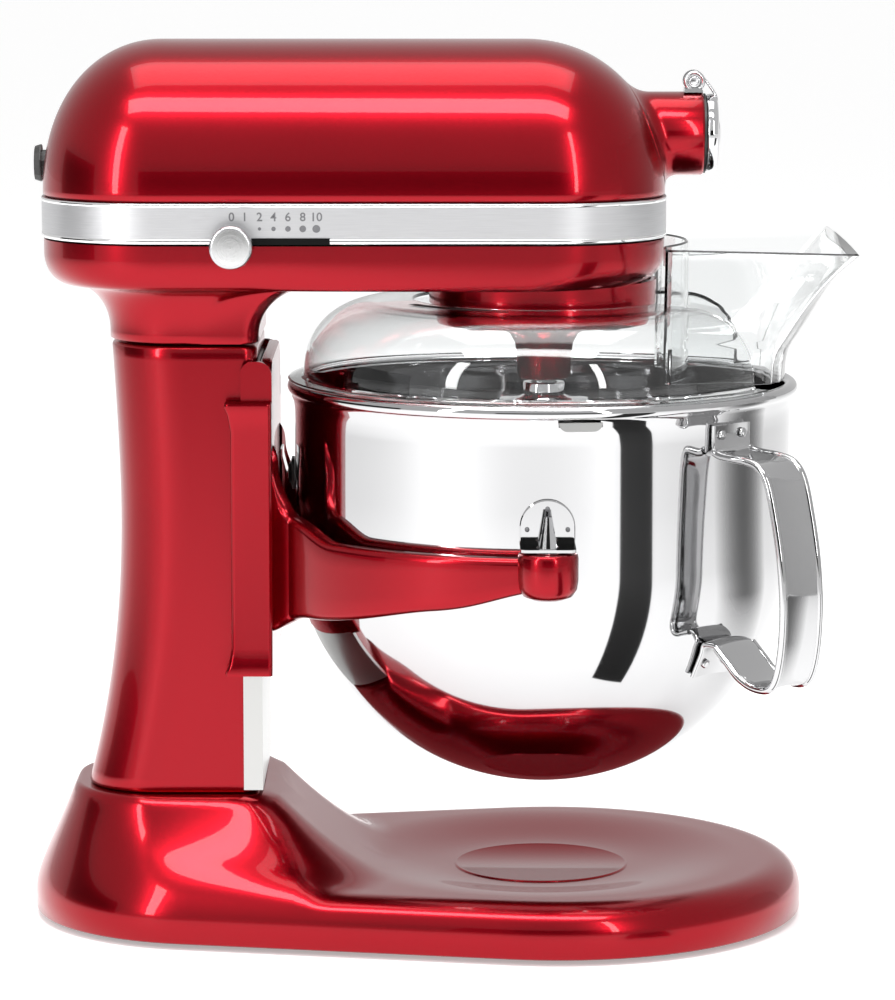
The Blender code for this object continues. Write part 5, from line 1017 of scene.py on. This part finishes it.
def stage_sheet(name, corners, finish):
    """Floor or card: one flat sheet that isn't part of the mixer."""
    mesh = bpy.data.meshes.new(name)
    mesh.from_pydata(corners, [], [(0, 1, 2, 3)])
    mesh.materials.append(finish.material)
    made = put(name, mesh)
    return made


def make_studio():
    """White floor and world, soft side lights, two overhead, and the cards."""
    world = bpy.data.worlds.new("studio")
    world.use_nodes = True
    sky = world.node_tree.nodes["Background"].inputs
    sky["Color"].default_value = (1, 1, 1, 1)
    sky["Strength"].default_value = 0.68
    bpy.context.scene.world = world
    bpy.context.scene.view_settings.view_transform = "Standard"
    white = plain("studio_white", (0.90, 0.90, 0.90), 0.6, 0.36)
    stage_sheet("studio_floor", [(-40, -40, 0), (40, -40, 0), (40, 40, 0), (-40, 40, 0)], white)
    soft_light("key_left", (-1.35, -1.45, 1.0), (0, 0, 0.25), (0.22, 1.5), 16)
    soft_light("strip_right", (0.9, -1.7, 1.0), (0, 0, 0.3), (0.12, 1.4), 9)
    soft_light("overhead", (-0.1, -0.75, 1.7), (0, 0, 0.35), (1.5, 0.35), 22)
    soft_light("top_fill", (0.0, 0.2, 2.2), (0, 0, 0.2), (1.6, 1.0), 16)
    dark = plain("dark_card", (0.004, 0.004, 0.004), 0.95)
    grey = plain("grey_card", (0.42, 0.42, 0.42), 0.9)
    soft = faded("faded_card", (0.16, 0.16, 0.16), 0.20, 0.34)
    for name, points, colour in studio_cards(dark, grey, soft):
        card = stage_sheet(name, points, colour)
        card.visible_camera = card.visible_diffuse = card.visible_shadow = card.visible_transmission = False


def floor_card(near, far, start, end):
    """Corners of a card lying in front, between two reaches and two bearings from the bowl."""
    corners = ((near, start), (near, end), (far, end + 2), (far, start))
    return [(r * sin(radians(a)), -r * cos(radians(a)), 0.0015) for r, a in corners]


def upright_card(start, end, low, high):
    return [(*start, low), (*end, low), (*end, high), (*start, high)]


def studio_cards(dark, grey, soft):
    """Cards that the bright metal and the paint reflect: each with its corners and its colour."""
    return (("streak_card", floor_card(0.21, 2.2, 35, 48), dark),
            ("edge_card", floor_card(0.2, 2.0, 80, 120), soft),
            ("front_card", upright_card((-1.0, -2.7), (1.3, -2.7), 0.22, 0.90), dark),
            ("side_card", upright_card((-2.6, -1.2), (-2.6, 0.8), 0.0, 0.9), dark),
            ("right_card", upright_card((1.9, -0.5), (1.9, 1.3), 0.0, 1.1), grey))


def make_camera():
    camera = bpy.data.cameras.new("camera")
    camera.lens = 158.7
    camera.sensor_width = 36
    camera.clip_end = 30
    made = put("camera", camera)
    made.location = (AXIS.x - 0.0452, -2.09, 0.496)
    made.rotation_euler = (radians(90 - 8.07), 0, 0)
    bpy.context.scene.camera = made


def ease_edges(names, width):
    """Small bevels on frame nodes that show as they are."""
    for name in names:
        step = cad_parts[name].modifiers.new("eased_edges", "BEVEL")
        step.width = width
        step.segments = 2
        step.limit_method = "ANGLE"
        step.angle_limit = radians(40)


# ------------------------ assembly
finish_nodes()
make_base()
make_column()
make_head_lower()
make_head_upper()
make_band()
make_knob()
make_hub()
make_planetary()
make_hook()
make_support()
make_bowl()
make_handle()
make_brackets()
make_shield()
ease_edges(("slide_track", "lift_lever"), 0.0003)
make_studio()
make_camera()
